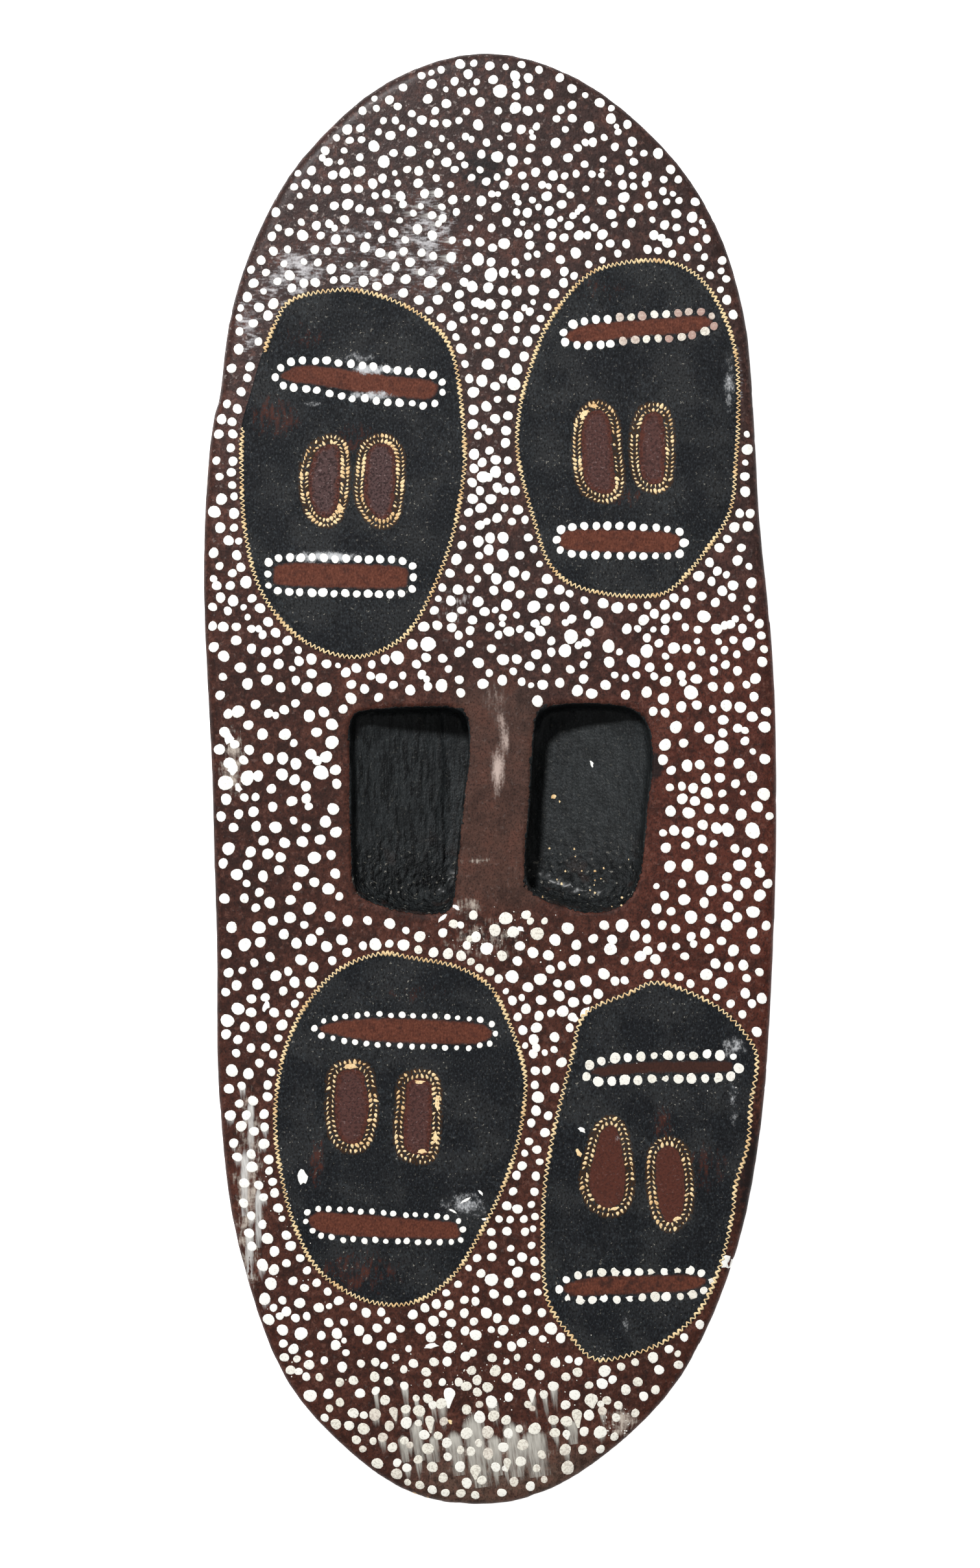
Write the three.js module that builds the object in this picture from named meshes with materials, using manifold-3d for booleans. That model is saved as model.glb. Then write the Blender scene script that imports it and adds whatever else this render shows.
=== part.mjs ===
// A carved wooden shield, lying on its outer face with the grip side up.
// Millimetres. +X to the right, +Y to the top end, +Z up out of the grip face.
// The origin is under the middle of the shield, on the surface that it lies on.
// It is one piece of wood: two hollows are cut into the grip side, and the bar
// left standing between them is the grip, with a finger tunnel under it.

import * as THREE from 'three';
import Module from 'manifold-3d';

// Driving dimensions
const THICKNESS = 52;        // through the middle, from rest face to grip face
const CROWN = 4;             // how far the grip face falls from middle to rim
const RIM_THICKNESS = 16;    // at the edge, all round
const RIM_ROUND = 5.5;       // radius of the two rounded corners of the rim
const REST_SPOT = 0.25;      // flat part of the outer face, as a share of the outline
const DISH_POWER = 2.3;      // how late the outer face curves up towards the rim
const FLOOR_Z = 16;          // height of the hollow floors beside the grip bar
const FLOOR_RISE = 21;       // how much higher the floors are at their outer ends
const FLOOR_POWER = 1.4;     // how late the floors curve up towards their outer ends
const MOUTH_CLEARANCE = 10;  // how far the cutters stand above the grip face

const STEPS_PER_POINT = 4;   // facets between two points of the outline
const HOLLOW_FACETS = 45;    // facets round each hollow
const TUNNEL_FACETS = 24;    // facets round the finger tunnel
const RIM_STEPS = 3;         // facets across each rounded corner of the rim

// Where the rings of facets lie on the two faces, as shares of the outline
const OUTER_FACE_SHARES = [REST_SPOT, 0.4, 0.53, 0.65, 0.76, 0.87, 1];
const GRIP_FACE_SHARES = [1, 0.8, 0.55, 0.3];

// Half of the shield's outline runs down each side, from the top end to the
// bottom end. The left side has a small shoulder a quarter of the way down.
const TOP_END = [-3, 475];
const BOTTOM_END = [-8, -475];
const LEFT_SIDE = [
  [-66, 456.5], [-123, 406], [-153, 355], [-170, 304], [-176.2, 256], [-177.4, 248],
  [-180.2, 239], [-184.8, 204], [-187.5, 125], [-182, 5], [-179, -100], [-177.5, -205],
  [-164.5, -306], [-133, -394], [-91, -441], [-50, -467.5],
];
const RIGHT_SIDE = [
  [57, 458.5], [113, 414], [147, 364.5], [166, 304], [172.5, 237], [176.5, 169],
  [185, 80], [187.5, 0], [185, -120], [178, -222], [162, -306], [125, -391], [77, -441],
  [31, -468.5],
];

// The mouths of the two hollows, drawn anticlockwise from their top right corner.
const LEFT_MOUTH = [
  [-19, 44.5], [-54, 46], [-86, 43], [-90.2, 39], [-90.8, 5], [-90, -45], [-87, -73],
  [-73, -81.5], [-51, -87], [-32, -86.5], [-25.5, -82], [-23, -66], [-17.5, -15],
  [-13.5, 19], [-14.5, 37],
];
const RIGHT_MOUTH = [
  [93, 45], [69, 48.5], [43, 47.5], [32, 43], [28.5, 25], [26, -19], [23.2, -57],
  [26, -72], [44, -81.5], [69, -87], [87, -81], [96, -68], [102, -20], [105.5, 18],
  [102, 36],
];
// How far each wall leans in on its way down: the upper wall is nearly upright
// and the lower one is a long scoop. The levels are shares of the depth.
const WALL_LEAN = { side: 4, upper: 3, lower: 14 };
const WALL_LEVELS = [0, 0.35, 0.6, 0.8, 0.93, 1];
const FLOOR_SHARES = [0.7, 0.35];

// The finger tunnel joins the hollows under the grip bar, and flares at its ends.
const TUNNEL = { y: -19, halfLength: 53, height: 19, reach: 31, flare: 4 };
const TUNNEL_LEVELS = [-1, -0.5, 0, 0.5, 1];
const TUNNEL_SQUARENESS = 4;

/** A smooth closed loop through points given as [x, y]. */
function closedLoop(points, count) {
  const knots = points.map(([x, y]) => new THREE.Vector3(x, y, 0));
  const curve = new THREE.CatmullRomCurve3(knots, true, 'centripetal');
  return curve.getPoints(count).slice(0, count);
}

/** Moves each point of an anticlockwise loop inwards, square to the loop. */
function insetLoop(loop, distance) {
  return loop.map((point, i) => {
    const before = loop[(i + loop.length - 1) % loop.length];
    const after = loop[(i + 1) % loop.length];
    const along = after.clone().sub(before).normalize();
    const inwards = new THREE.Vector3(-along.y, along.x, 0);
    return point.clone().addScaledVector(inwards, distance);
  });
}

/** A loop shrunk towards the origin by a share and set at a height. */
function ringAt(loop, share, z) {
  return loop.map((point) => new THREE.Vector3(point.x * share, point.y * share, z));
}

function ringCentre(ring) {
  const sum = ring.reduce((total, point) => total.add(point), new THREE.Vector3());
  return sum.divideScalar(ring.length);
}

/** A closed skin over rings that turn anticlockwise about the way they advance. */
function loft(rings, startCentre = ringCentre(rings[0]), endCentre = ringCentre(rings.at(-1))) {
  const count = rings[0].length;
  const vertices = [...rings.flat(), startCentre, endCentre];
  const start = vertices.length - 2;
  const end = vertices.length - 1;
  const lastRing = (rings.length - 1) * count;
  const triangles = [];
  for (let j = 0; j < count; j += 1) {
    const next = (j + 1) % count;
    triangles.push(start, next, j);
    for (let level = 0; level < rings.length - 1; level += 1) {
      const low = level * count;
      const high = low + count;
      triangles.push(low + j, low + next, high + next);
      triangles.push(low + j, high + next, high + j);
    }
    triangles.push(end, lastRing + j, lastRing + next);
  }
  const geometry = new THREE.BufferGeometry().setFromPoints(vertices);
  geometry.setIndex(triangles);
  return geometry;
}

const gripFaceZ = (share) => THICKNESS - CROWN * share ** 2;

function outerFaceZ(share) {
  const rise = THICKNESS - CROWN - RIM_THICKNESS;
  const beyondSpot = Math.max(0, (share - REST_SPOT) / (1 - REST_SPOT));
  return rise * beyondSpot ** DISH_POWER;
}

/** Rings over one rounded corner of the rim, from a face out to the edge. */
function cornerRings(outline, faceZ, towardsEdge) {
  return Array.from({ length: RIM_STEPS }, (_, step) => {
    const turn = ((step + 1) / RIM_STEPS) * (Math.PI / 2);
    const inset = RIM_ROUND * (1 - Math.sin(turn));
    const drop = RIM_ROUND * (1 - Math.cos(turn));
    return ringAt(insetLoop(outline, inset), 1, faceZ + towardsEdge * drop);
  });
}

/** The solid board before it is hollowed: outer face, rounded rim, grip face. */
function boardBlank() {
  const points = [TOP_END, ...LEFT_SIDE, BOTTOM_END, ...RIGHT_SIDE.toReversed()];
  const outline = closedLoop(points, points.length * STEPS_PER_POINT);
  const faceEdge = insetLoop(outline, RIM_ROUND);
  const rings = [
    ...OUTER_FACE_SHARES.map((share) => ringAt(faceEdge, share, outerFaceZ(share))),
    ...cornerRings(outline, outerFaceZ(1), 1),
    ...cornerRings(outline, gripFaceZ(1), -1).toReversed(),
    ...GRIP_FACE_SHARES.map((share) => ringAt(faceEdge, share, gripFaceZ(share))),
  ];
  return loft(rings, new THREE.Vector3(), new THREE.Vector3(0, 0, THICKNESS));
}

/**
 * A cutter for one hollow: its mouth outline, squeezed on its way to the floor,
 * which curves up from the grip bar to the outer wall.
 */
function hollowCutter(mouthPoints) {
  const mouth = closedLoop(mouthPoints, HOLLOW_FACETS);
  const { min, max } = new THREE.Box3().setFromPoints(mouth);
  const middle = new THREE.Vector3().lerpVectors(min, max, 0.5);
  const nearBar = Math.min(Math.abs(min.x), Math.abs(max.x));
  const floorZ = (x) => {
    const outwards = Math.max(0, (Math.abs(x) - nearBar) / (max.x - min.x));
    return FLOOR_Z + FLOOR_RISE * outwards ** FLOOR_POWER;
  };
  const wallRings = WALL_LEVELS.map((depth) => {
    const lean = 1 - Math.sqrt(1 - depth ** 2);
    const left = min.x + WALL_LEAN.side * lean;
    const right = max.x - WALL_LEAN.side * lean;
    const bottom = min.y + WALL_LEAN.lower * lean;
    const top = max.y - WALL_LEAN.upper * lean;
    return mouth.map((point) => new THREE.Vector3(
      THREE.MathUtils.mapLinear(point.x, min.x, max.x, left, right),
      THREE.MathUtils.mapLinear(point.y, min.y, max.y, bottom, top),
      THREE.MathUtils.lerp(THICKNESS, floorZ(point.x), depth),
    ));
  });
  const floorRings = FLOOR_SHARES.map((share) => wallRings.at(-1).map((point) => {
    const inner = new THREE.Vector3().lerpVectors(middle, point, share);
    return inner.setZ(floorZ(inner.x));
  }));
  const rings = [ringAt(mouth, 1, THICKNESS + MOUTH_CLEARANCE), ...wallRings, ...floorRings];
  return loft(rings.toReversed());
}

/** A cutter for the finger tunnel: rounded, and taller at both ends than midway. */
function tunnelCutter() {
  const squared = (value) => Math.sign(value) * Math.abs(value) ** (2 / TUNNEL_SQUARENESS);
  const rings = TUNNEL_LEVELS.map((along) => {
    const halfHeight = (TUNNEL.height + TUNNEL.flare * along ** 2) / 2;
    return Array.from({ length: TUNNEL_FACETS }, (_, j) => {
      const angle = ((j + 0.5) / TUNNEL_FACETS) * 2 * Math.PI;
      return new THREE.Vector3(
        along * TUNNEL.reach,
        TUNNEL.y + TUNNEL.halfLength * squared(Math.cos(angle)),
        FLOOR_Z + halfHeight * (1 + squared(Math.sin(angle))),
      );
    });
  });
  return loft(rings);
}

const wasm = await Module();
wasm.setup();

function toSolid(geometry) {
  return new wasm.Manifold(new wasm.Mesh({
    numProp: 3,
    vertProperties: new Float32Array(geometry.getAttribute('position').array),
    triVerts: new Uint32Array(geometry.getIndex().array),
  }));
}

function toGeometry(solid) {
  const mesh = solid.getMesh();
  const geometry = new THREE.BufferGeometry();
  geometry.setAttribute('position', new THREE.BufferAttribute(mesh.vertProperties, 3));
  geometry.setIndex(new THREE.BufferAttribute(mesh.triVerts, 1));
  geometry.computeVertexNormals();
  return geometry;
}

function shieldGeometry() {
  const hollows = toSolid(hollowCutter(LEFT_MOUTH)).add(toSolid(hollowCutter(RIGHT_MOUTH)));
  const cutters = hollows.add(toSolid(tunnelCutter()));
  return toGeometry(toSolid(boardBlank()).subtract(cutters));
}

const paintedWood = new THREE.MeshStandardMaterial({
  name: 'painted wood',
  color: 0x543d38,
  roughness: 0.55,
  metalness: 0,
});

const shield = new THREE.Mesh(shieldGeometry(), paintedWood);
shield.name = 'shield';

const group = new THREE.Group();
group.add(shield);

export default group;
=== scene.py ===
"""A carved and painted wooden shield, grip side up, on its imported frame.

The board is one piece of wood. Four painted heads lie on it as thin films of paint,
ringed by gouged lines that show pale wood, on a brown ground covered in white dots.
Each operator makes one piece, or one group of like pieces, and the last one the stage.
"""

import math
from collections import namedtuple
from functools import cache

import bmesh
import bpy
import numpy as np
from bpy.props import FloatProperty, FloatVectorProperty, IntProperty, PointerProperty
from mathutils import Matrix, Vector, noise
from mathutils.bvhtree import BVHTree


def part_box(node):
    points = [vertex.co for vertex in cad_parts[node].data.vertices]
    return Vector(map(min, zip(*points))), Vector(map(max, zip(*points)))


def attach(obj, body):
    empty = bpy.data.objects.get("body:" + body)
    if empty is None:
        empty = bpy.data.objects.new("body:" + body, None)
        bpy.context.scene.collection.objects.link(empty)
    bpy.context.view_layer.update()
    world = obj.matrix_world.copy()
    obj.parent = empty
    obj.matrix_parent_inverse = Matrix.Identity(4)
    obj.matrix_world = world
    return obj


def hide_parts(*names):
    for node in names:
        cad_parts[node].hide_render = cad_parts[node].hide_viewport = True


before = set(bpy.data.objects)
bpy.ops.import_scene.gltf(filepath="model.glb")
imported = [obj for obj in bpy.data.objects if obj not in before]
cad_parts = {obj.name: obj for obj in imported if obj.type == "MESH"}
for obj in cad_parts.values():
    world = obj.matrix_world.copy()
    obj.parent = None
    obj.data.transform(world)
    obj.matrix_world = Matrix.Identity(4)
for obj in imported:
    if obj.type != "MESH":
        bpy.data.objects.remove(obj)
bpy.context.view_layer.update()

bl_info = {
    "name": "Carved wooden shield",
    "version": (1, 0, 0),
    "blender": (4, 5, 0),
    "location": "3D View > Sidebar > Shield",
    "description": "Makes a carved, painted wooden shield and its stage",
    "category": "Object",
}

MM = 0.001
BODY = "root"
BOARD = "shield"
BOARD_LOW, BOARD_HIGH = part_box(BOARD)
FACE_Z = BOARD_HIGH.z
UP = Vector((0, 0, 1))

# An oval in millimetres: its middle, half its width and height, how far its top
# tilts to the left in degrees, how much wider its top is than its middle, how square
# its upper and lower corners are (2 is an ellipse), how far its top leans and its
# ends bow to the right.
Oval = namedtuple(
    "Oval",
    "x y half_width half_height tilt taper upper lower lean bow",
    defaults=(0, 0, 2, 2, 0, 0),
)
# A painted bar, ringed by dots: their diameter, spacing, and distance from the bar,
# and how much of the black paint shows through it.
Bar = namedtuple("Bar", "outline dot step gap faded", defaults=(0.1,))
# A head's outline, its two bars and its eyes, how long its zigzags are and how far apart
# its eye marks are beside the usual, whether the marks point up (1) or down (-1), how red
# the eyes are, and the heights between which no line is gouged down its left side.
Head = namedtuple("Head", "outline brow mouth eyes zigzag spacing point red bare", defaults=(None,))

# Each outline is either an oval or a few points in millimetres, joined by a smooth
# curve, anticlockwise.
HEADS = {
    "upper_left": Head(
        outline=(
            (-17, 225), (-24, 276), (-40, 298.5), (-66, 313), (-96, 319), (-129, 312.5),
            (-141, 295), (-148, 276), (-154, 255), (-161, 229), (-162, 199), (-159.5, 160),
            (-149, 122), (-125, 92.5), (-92, 79.5), (-64, 87), (-46, 106), (-27.5, 148),
            (-18, 191),
        ),
        brow=Bar(
            (
                (-35, 253), (-37, 258.5), (-60, 262), (-95, 267), (-121, 269), (-132, 266),
                (-136, 262), (-128, 259), (-110, 257), (-80, 251.5), (-50, 248.5), (-40, 248),
            ),
            5.7, 7.8, 4.2,
        ),
        mouth=Bar(Oval(-97.5, 132.3, 43.5, 7.4, tilt=-1.5, upper=6, lower=6), 5.9, 7.3, 3.9),
        eyes=(
            (
                (-97.5, 205), (-99, 216), (-106, 218), (-114, 212), (-118, 199), (-117, 183),
                (-113, 173.5), (-106, 170), (-100.5, 176), (-98, 190),
            ),
            (
                (-61.5, 199), (-63, 214), (-71, 219), (-79, 214), (-81.5, 199), (-82, 184),
                (-77, 173.5), (-70, 169), (-64, 175),
            ),
        ),
        zigzag=1.0,
        spacing=0.9,
        point=-1,
        red=0.0,
        bare=(230, 278),
    ),
    "upper_right": Head(
        outline=(
            (162, 237), (160.5, 276), (150, 308), (133.5, 329.5), (110, 338), (79.5, 335),
            (59.5, 325), (37.5, 296), (23.5, 259), (18, 230), (19, 206), (28, 171),
            (40, 138), (62, 123.5), (98, 119), (120, 125), (146, 156), (157.5, 178),
            (160.5, 209),
        ),
        brow=Bar(
            (
                (144, 297), (139, 301.5), (118, 300.5), (85, 298), (60, 295), (50, 289),
                (56, 285), (75, 286), (97, 289), (130, 291.5),
            ),
            5.9, 7.8, 2.8,
        ),
        mouth=Bar(Oval(84.6, 155, 39, 7, tilt=-1, upper=4, lower=4), 5.8, 7.9, 2.6),
        eyes=(
            (
                (80, 212), (77.5, 234), (69.5, 240.5), (61.5, 233), (59.7, 214), (62.5, 193.5),
                (72, 186), (80, 188), (81.5, 197),
            ),
            (
                (114.3, 212), (113, 233), (109, 239), (101, 236.5), (97.5, 224), (97.5, 208),
                (100, 196), (106, 192.5), (112.5, 195),
            ),
        ),
        zigzag=0.95,
        spacing=0.95,
        point=-1,
        red=0.45,
    ),
    "lower_left": Head(
        outline=(
            (23, -204), (21, -184), (12, -158), (0, -135.5), (-22, -122.5), (-52, -116.5),
            (-71, -114), (-96, -123), (-116, -142), (-130, -167), (-138, -196), (-140, -230),
            (-135, -264), (-128, -290), (-114, -318), (-91, -336), (-67, -343), (-46, -340),
            (-25, -325), (-9, -301), (9, -265), (19, -233),
        ),
        brow=Bar(
            (
                (1, -166), (-6, -160.5), (-30, -158), (-65, -156.5), (-90, -157.5),
                (-104, -159.5), (-111, -163.5), (-100, -167), (-75, -170.5), (-40, -172),
                (-8, -172),
            ),
            4.3, 7.3, 2.9,
        ),
        mouth=Bar(
            (
                (-20.5, -294), (-25, -289.5), (-56, -287), (-87, -284.5), (-112, -283),
                (-118, -288.5), (-109, -295.5), (-87, -298), (-56, -299), (-24, -299.5),
            ),
            4.3, 7.1, 2.7,
        ),
        eyes=(
            (
                (-79, -216), (-80.5, -203), (-84, -190.5), (-98, -191.5), (-100.5, -203),
                (-101, -218), (-98.5, -232.5), (-91, -238), (-83, -234.5),
            ),
            (
                (-38, -218), (-39.5, -197), (-53.5, -198), (-55, -212), (-56.5, -227),
                (-55, -241), (-48, -244.5), (-40, -242.5),
            ),
        ),
        zigzag=1.0,
        spacing=1.1,
        point=1,
        red=0.5,
    ),
    "lower_right": Head(
        outline=(
            (174, -190), (171.5, -174), (153, -152.5), (128, -138.5), (107, -133),
            (90, -140), (68, -149), (58.5, -159), (53, -183), (42, -228), (35.5, -268),
            (34.5, -310), (38, -341), (53, -364), (67, -378), (85, -377.5), (114, -367),
            (137, -346.5), (150, -318), (158, -286), (160.5, -264), (168, -240),
            (170.5, -210),
        ),
        brow=Bar(
            (
                (158, -188), (150, -184.5), (95, -185.5), (76, -187.5), (66, -191),
                (76, -193.5), (100, -191.5), (150, -191),
            ),
            6.6, 8.6, 4.2, 0.5,
        ),
        mouth=Bar(
            (
                (141, -327.5), (130, -324.5), (99, -324.5), (68, -325.5), (49, -330.5),
                (54, -336.5), (80, -336), (105, -335), (130, -333.5),
            ),
            6.2, 8.2, 3, 0.22,
        ),
        eyes=(
            (
                (88, -258), (84, -232), (78.5, -226), (72.5, -231), (68, -246), (64.5, -264),
                (70, -276.5), (80, -279.5), (86.5, -273.5),
            ),
            (
                (127, -268), (125, -250), (121.5, -241.5), (115, -239.5), (109.5, -244),
                (108, -256), (109.5, -274), (112.5, -285), (118, -289.5), (125, -283),
            ),
        ),
        zigzag=1.2,
        spacing=1.12,
        point=1,
        red=1.0,
    ),
}

# Where no dots are painted: round each hollow, on the grip between them, and where the
# lower right head nears the rim.
DOT_FREE = (
    Oval(-54, -19.5, 41.5, 69, upper=7, lower=7),
    Oval(66, -20, 42, 71, tilt=-1, upper=5, lower=5),
    Oval(5, -12, 24, 69, upper=5, lower=5),
    Oval(174, -245, 12, 75, tilt=-8, upper=4, lower=4),
)

# How far runs of paint drift to the right as they fall, as a share of their length.
RUN_SLOPE = 0.14


def srgb(red, green, blue):
    """The linear colour of an 8-bit display colour."""
    shares = (value / 255 for value in (red, green, blue))
    return tuple(s / 12.92 if s <= 0.04045 else ((s + 0.055) / 1.055) ** 2.4 for s in shares)


def colour(name, description, *rgb):
    return FloatVectorProperty(
        name=name, description=description, subtype="COLOR", min=0, max=1, default=srgb(*rgb)
    )


def size(name, description, millimetres):
    return FloatProperty(
        name=name, description=description, unit="LENGTH", min=0, default=millimetres * MM
    )


def number(name, description, default):
    return FloatProperty(name=name, description=description, min=0, default=default)


def seed(description, default):
    return IntProperty(name="Seed", description=description, min=0, default=default)


class WoodSettings(bpy.types.PropertyGroup):
    cell: size("Cell", "Size of the faces that the board is remade with", 3.05)
    smoothing: IntProperty(name="Smoothing", description="Rounds of smoothing", min=0, default=5)
    swell: size("Swell", "Height of the broad unevenness left by the adze", 0.45)
    scallop: size("Scallop", "Depth of the adze cuts on the outer face", 0.8)
    grain: size("Grain", "Height of the fine grain", 0.11)
    furrow: size("Furrow", "Depth of the gouge furrows in the hollows", 0.4)
    lump: size("Lump", "Height of the tar lumps low in the hollows", 0.8)
    brown: colour("Brown", "Earth paint at the top end", 58, 41, 38)
    red_brown: colour("Red brown", "Earth paint towards the bottom end", 72, 39, 30)
    tar: colour("Tar", "Black paint in the hollows", 38, 41, 42)
    bare: colour("Bare wood", "Wood where the paint has worn off", 205, 165, 118)
    seed: seed("Seed of the carving marks", 3)


class HeadSettings(bpy.types.PropertyGroup):
    thickness: size("Thickness", "Height of the paint over the wood", 0.2)
    spread: size("Spread", "How far the paint runs past the gouged line", 1.2)
    black: colour("Black", "Paint of the heads", 24, 26, 29)
    red: colour("Red", "Paint of the brow and mouth bars", 95, 53, 40)
    eye: colour("Eye", "Paint of the eyes", 80, 60, 59)


class LineSettings(bpy.types.PropertyGroup):
    pitch: size("Pitch", "Length of one zigzag", 3.2)
    swing: size("Swing", "Width of the zigzag between its turns", 2.9)
    stroke: size("Stroke", "Width of the cut", 0.72)
    height: size("Height", "Height of the splintered wood", 0.75)
    bloom: number("Bloom", "How much wider the cut is where strokes run together", 0.9)
    wood: colour("Wood", "Fresh pale wood in the cuts", 247, 221, 172)
    deep: colour("Deep wood", "Darker wood in the cuts", 200, 148, 88)
    seed: seed("Seed of the uneven strokes", 5)


class MarkSettings(bpy.types.PropertyGroup):
    step: size("Step", "Distance between two marks round an eye", 2.95)
    length: size("Length", "Length of a mark", 2.8)
    width: size("Width", "Width of a mark", 1.2)
    inner: size("Inner row", "Distance of the inner row from the eye", 1.5)
    outer: size("Outer row", "Distance of the outer row from the eye", 4.9)
    slant: FloatProperty(
        name="Slant",
        description="Slant of the marks across their row",
        subtype="ANGLE",
        default=math.radians(48),
    )
    missing: number("Missing", "Share of the marks that are missing", 0.06)
    seed: seed("Seed of the marks", 11)


class DotSettings(bpy.types.PropertyGroup):
    height: size("Height", "Thickness of a dot of paint", 0.28)
    margin: size("Margin", "Bare ground between the dots and the rim", 2.2)
    clearance: size("Clearance", "Bare ground between the dots and the heads", 2.4)
    row_step: size("Row step", "Spacing of the dots that ring the heads", 9.0)
    doubles: number("Doubles", "Share of the dots that touch another", 0.05)
    white: colour("White", "Paint of the dots", 250, 249, 244)
    cream: colour("Cream", "Paint of the thin dots at the bottom end", 236, 232, 218)
    seed: seed("Seed of the dots", 21)


class StageSettings(bpy.types.PropertyGroup):
    lens: FloatProperty(name="Lens", description="Focal length in millimetres", default=85)
    distance: size("Distance", "Height of the camera above the shield", 2422.6)
    key: number("Key light", "Strength of the key light", 390)
    sky: number("Sky", "Strength of the soft light all round", 0.25)
    glow: number("Glow", "Strength of the floor's own light", 0.95)


class Value:
    """A node's output, whose sums and products add Math nodes."""

    def __init__(self, graph, socket):
        self.graph = graph
        self.socket = socket

    def __getitem__(self, name):
        """Another output of the same node."""
        return Value(self.graph, self.socket.node.outputs[name])

    def maths(self, operation, *others):
        return self.graph.maths(operation, self, *others)

    def __add__(self, other):
        return self.maths("ADD", other)

    def __sub__(self, other):
        return self.maths("SUBTRACT", other)

    def __mul__(self, other):
        return self.maths("MULTIPLY", other)

    def __truediv__(self, other):
        return self.maths("DIVIDE", other)

    def __rsub__(self, other):
        return self.graph.maths("SUBTRACT", other, self)

    __radd__ = __add__
    __rmul__ = __mul__

    def least(self, other):
        return self.maths("MINIMUM", other)

    def most(self, other):
        return self.maths("MAXIMUM", other)

    def size(self):
        return self.maths("ABSOLUTE")

    def ramp(self, low, high):
        """0 below low and 1 above high, smooth between. It falls if high is the lower one."""
        settings = {"interpolation_type": "SMOOTHSTEP"}
        inputs = {"Value": self, "From Min": low, "From Max": high}
        return self.graph.add("ShaderNodeMapRange", settings, inputs)


def find_socket(sockets, key):
    """A socket by its number, or the first one of that name that is in use."""
    if isinstance(key, int):
        return sockets[key]
    return next(socket for socket in sockets if socket.name == key and socket.enabled)


class Graph:
    """Adds nodes to a material's or a Geometry Nodes tree."""

    def __init__(self, tree):
        self.tree = tree

    def add(self, kind, settings=(), inputs=(), output=0):
        """A node of that kind, set first, then fed with values and Values."""
        node = self.tree.nodes.new(kind)
        for name, value in dict(settings).items():
            setattr(node, name, value)
        pairs = inputs.items() if isinstance(inputs, dict) else enumerate(inputs)
        for key, value in pairs:
            socket = find_socket(node.inputs, key)
            if isinstance(value, Value):
                self.tree.links.new(value.socket, socket)
            elif socket.type == "RGBA":
                socket.default_value = (*value, 1)
            else:
                socket.default_value = value
        return Value(self, find_socket(node.outputs, output)) if node.outputs else node

    def maths(self, operation, *values):
        return self.add("ShaderNodeMath", {"operation": operation}, values)

    def vector_maths(self, operation, *values):
        return self.add("ShaderNodeVectorMath", {"operation": operation}, values)

    def vector(self, x, y, z):
        return self.add("ShaderNodeCombineXYZ", inputs=(x, y, z))

    def split(self, vector):
        parts = self.add("ShaderNodeSeparateXYZ", inputs=(vector,))
        return parts, parts["Y"], parts["Z"]

    def mix(self, factor, low, high, blend="MIX"):
        """The colour low where the factor is 0, and high where it is 1."""
        settings = {"data_type": "RGBA", "blend_type": blend, "clamp_factor": True}
        return self.add(
            "ShaderNodeMix", settings, {"Factor": factor, "A": low, "B": high}, "Result"
        )

    def layers(self, paint, *coats):
        """The paint under coats given as (cover, display colour), from the lowest up."""
        for cover, rgb in coats:
            paint = self.mix(cover, paint, srgb(*rgb))
        return paint

    def noise(self, place, millimetres, detail=2.0, stretch=(1, 1, 1), shift=0.0):
        """Noise from 0 to 1 with lumps of that size, drawn out along the axes."""
        scaled = self.vector_maths("DIVIDE", place, stretch)
        moved = self.vector_maths("ADD", scaled, (shift, shift, shift))
        inputs = {"Vector": moved, "Scale": 1 / (millimetres * MM), "Detail": detail}
        return self.add("ShaderNodeTexNoise", {}, inputs, "Fac")

    def attribute(self, name):
        return self.add("ShaderNodeAttribute", {"attribute_name": name}, output="Fac")

    def patchy(self, name, uneven, low, high, edge):
        """A soft patch stored on the mesh, made uneven only where there is some of it."""
        patch = self.attribute(name)
        return (patch + uneven * patch.ramp(0.02, edge)).ramp(low, high)

    def place(self):
        return self.add("ShaderNodeTexCoord", output="Object")

    def surface(self, colour, roughness, height, bump=0.1, alpha=1.0, specular=0.5, coat=0.0):
        """Ends a material: height is in millimetres once it is multiplied by bump."""
        relief = {"Strength": 1, "Distance": bump * MM, "Height": height}
        inputs = {
            "Base Color": colour,
            "Roughness": roughness,
            "Alpha": alpha,
            "Specular IOR Level": specular,
            "Coat Weight": coat,
            "Coat Roughness": 0.28,
            "Normal": self.add("ShaderNodeBump", inputs=relief),
        }
        shader = self.add("ShaderNodeBsdfPrincipled", inputs=inputs)
        self.add("ShaderNodeOutputMaterial", inputs={"Surface": shader})


def new_material(name):
    material = bpy.data.materials.new(name)
    material.use_nodes = True
    material.node_tree.nodes.clear()
    return material, Graph(material.node_tree)


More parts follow.
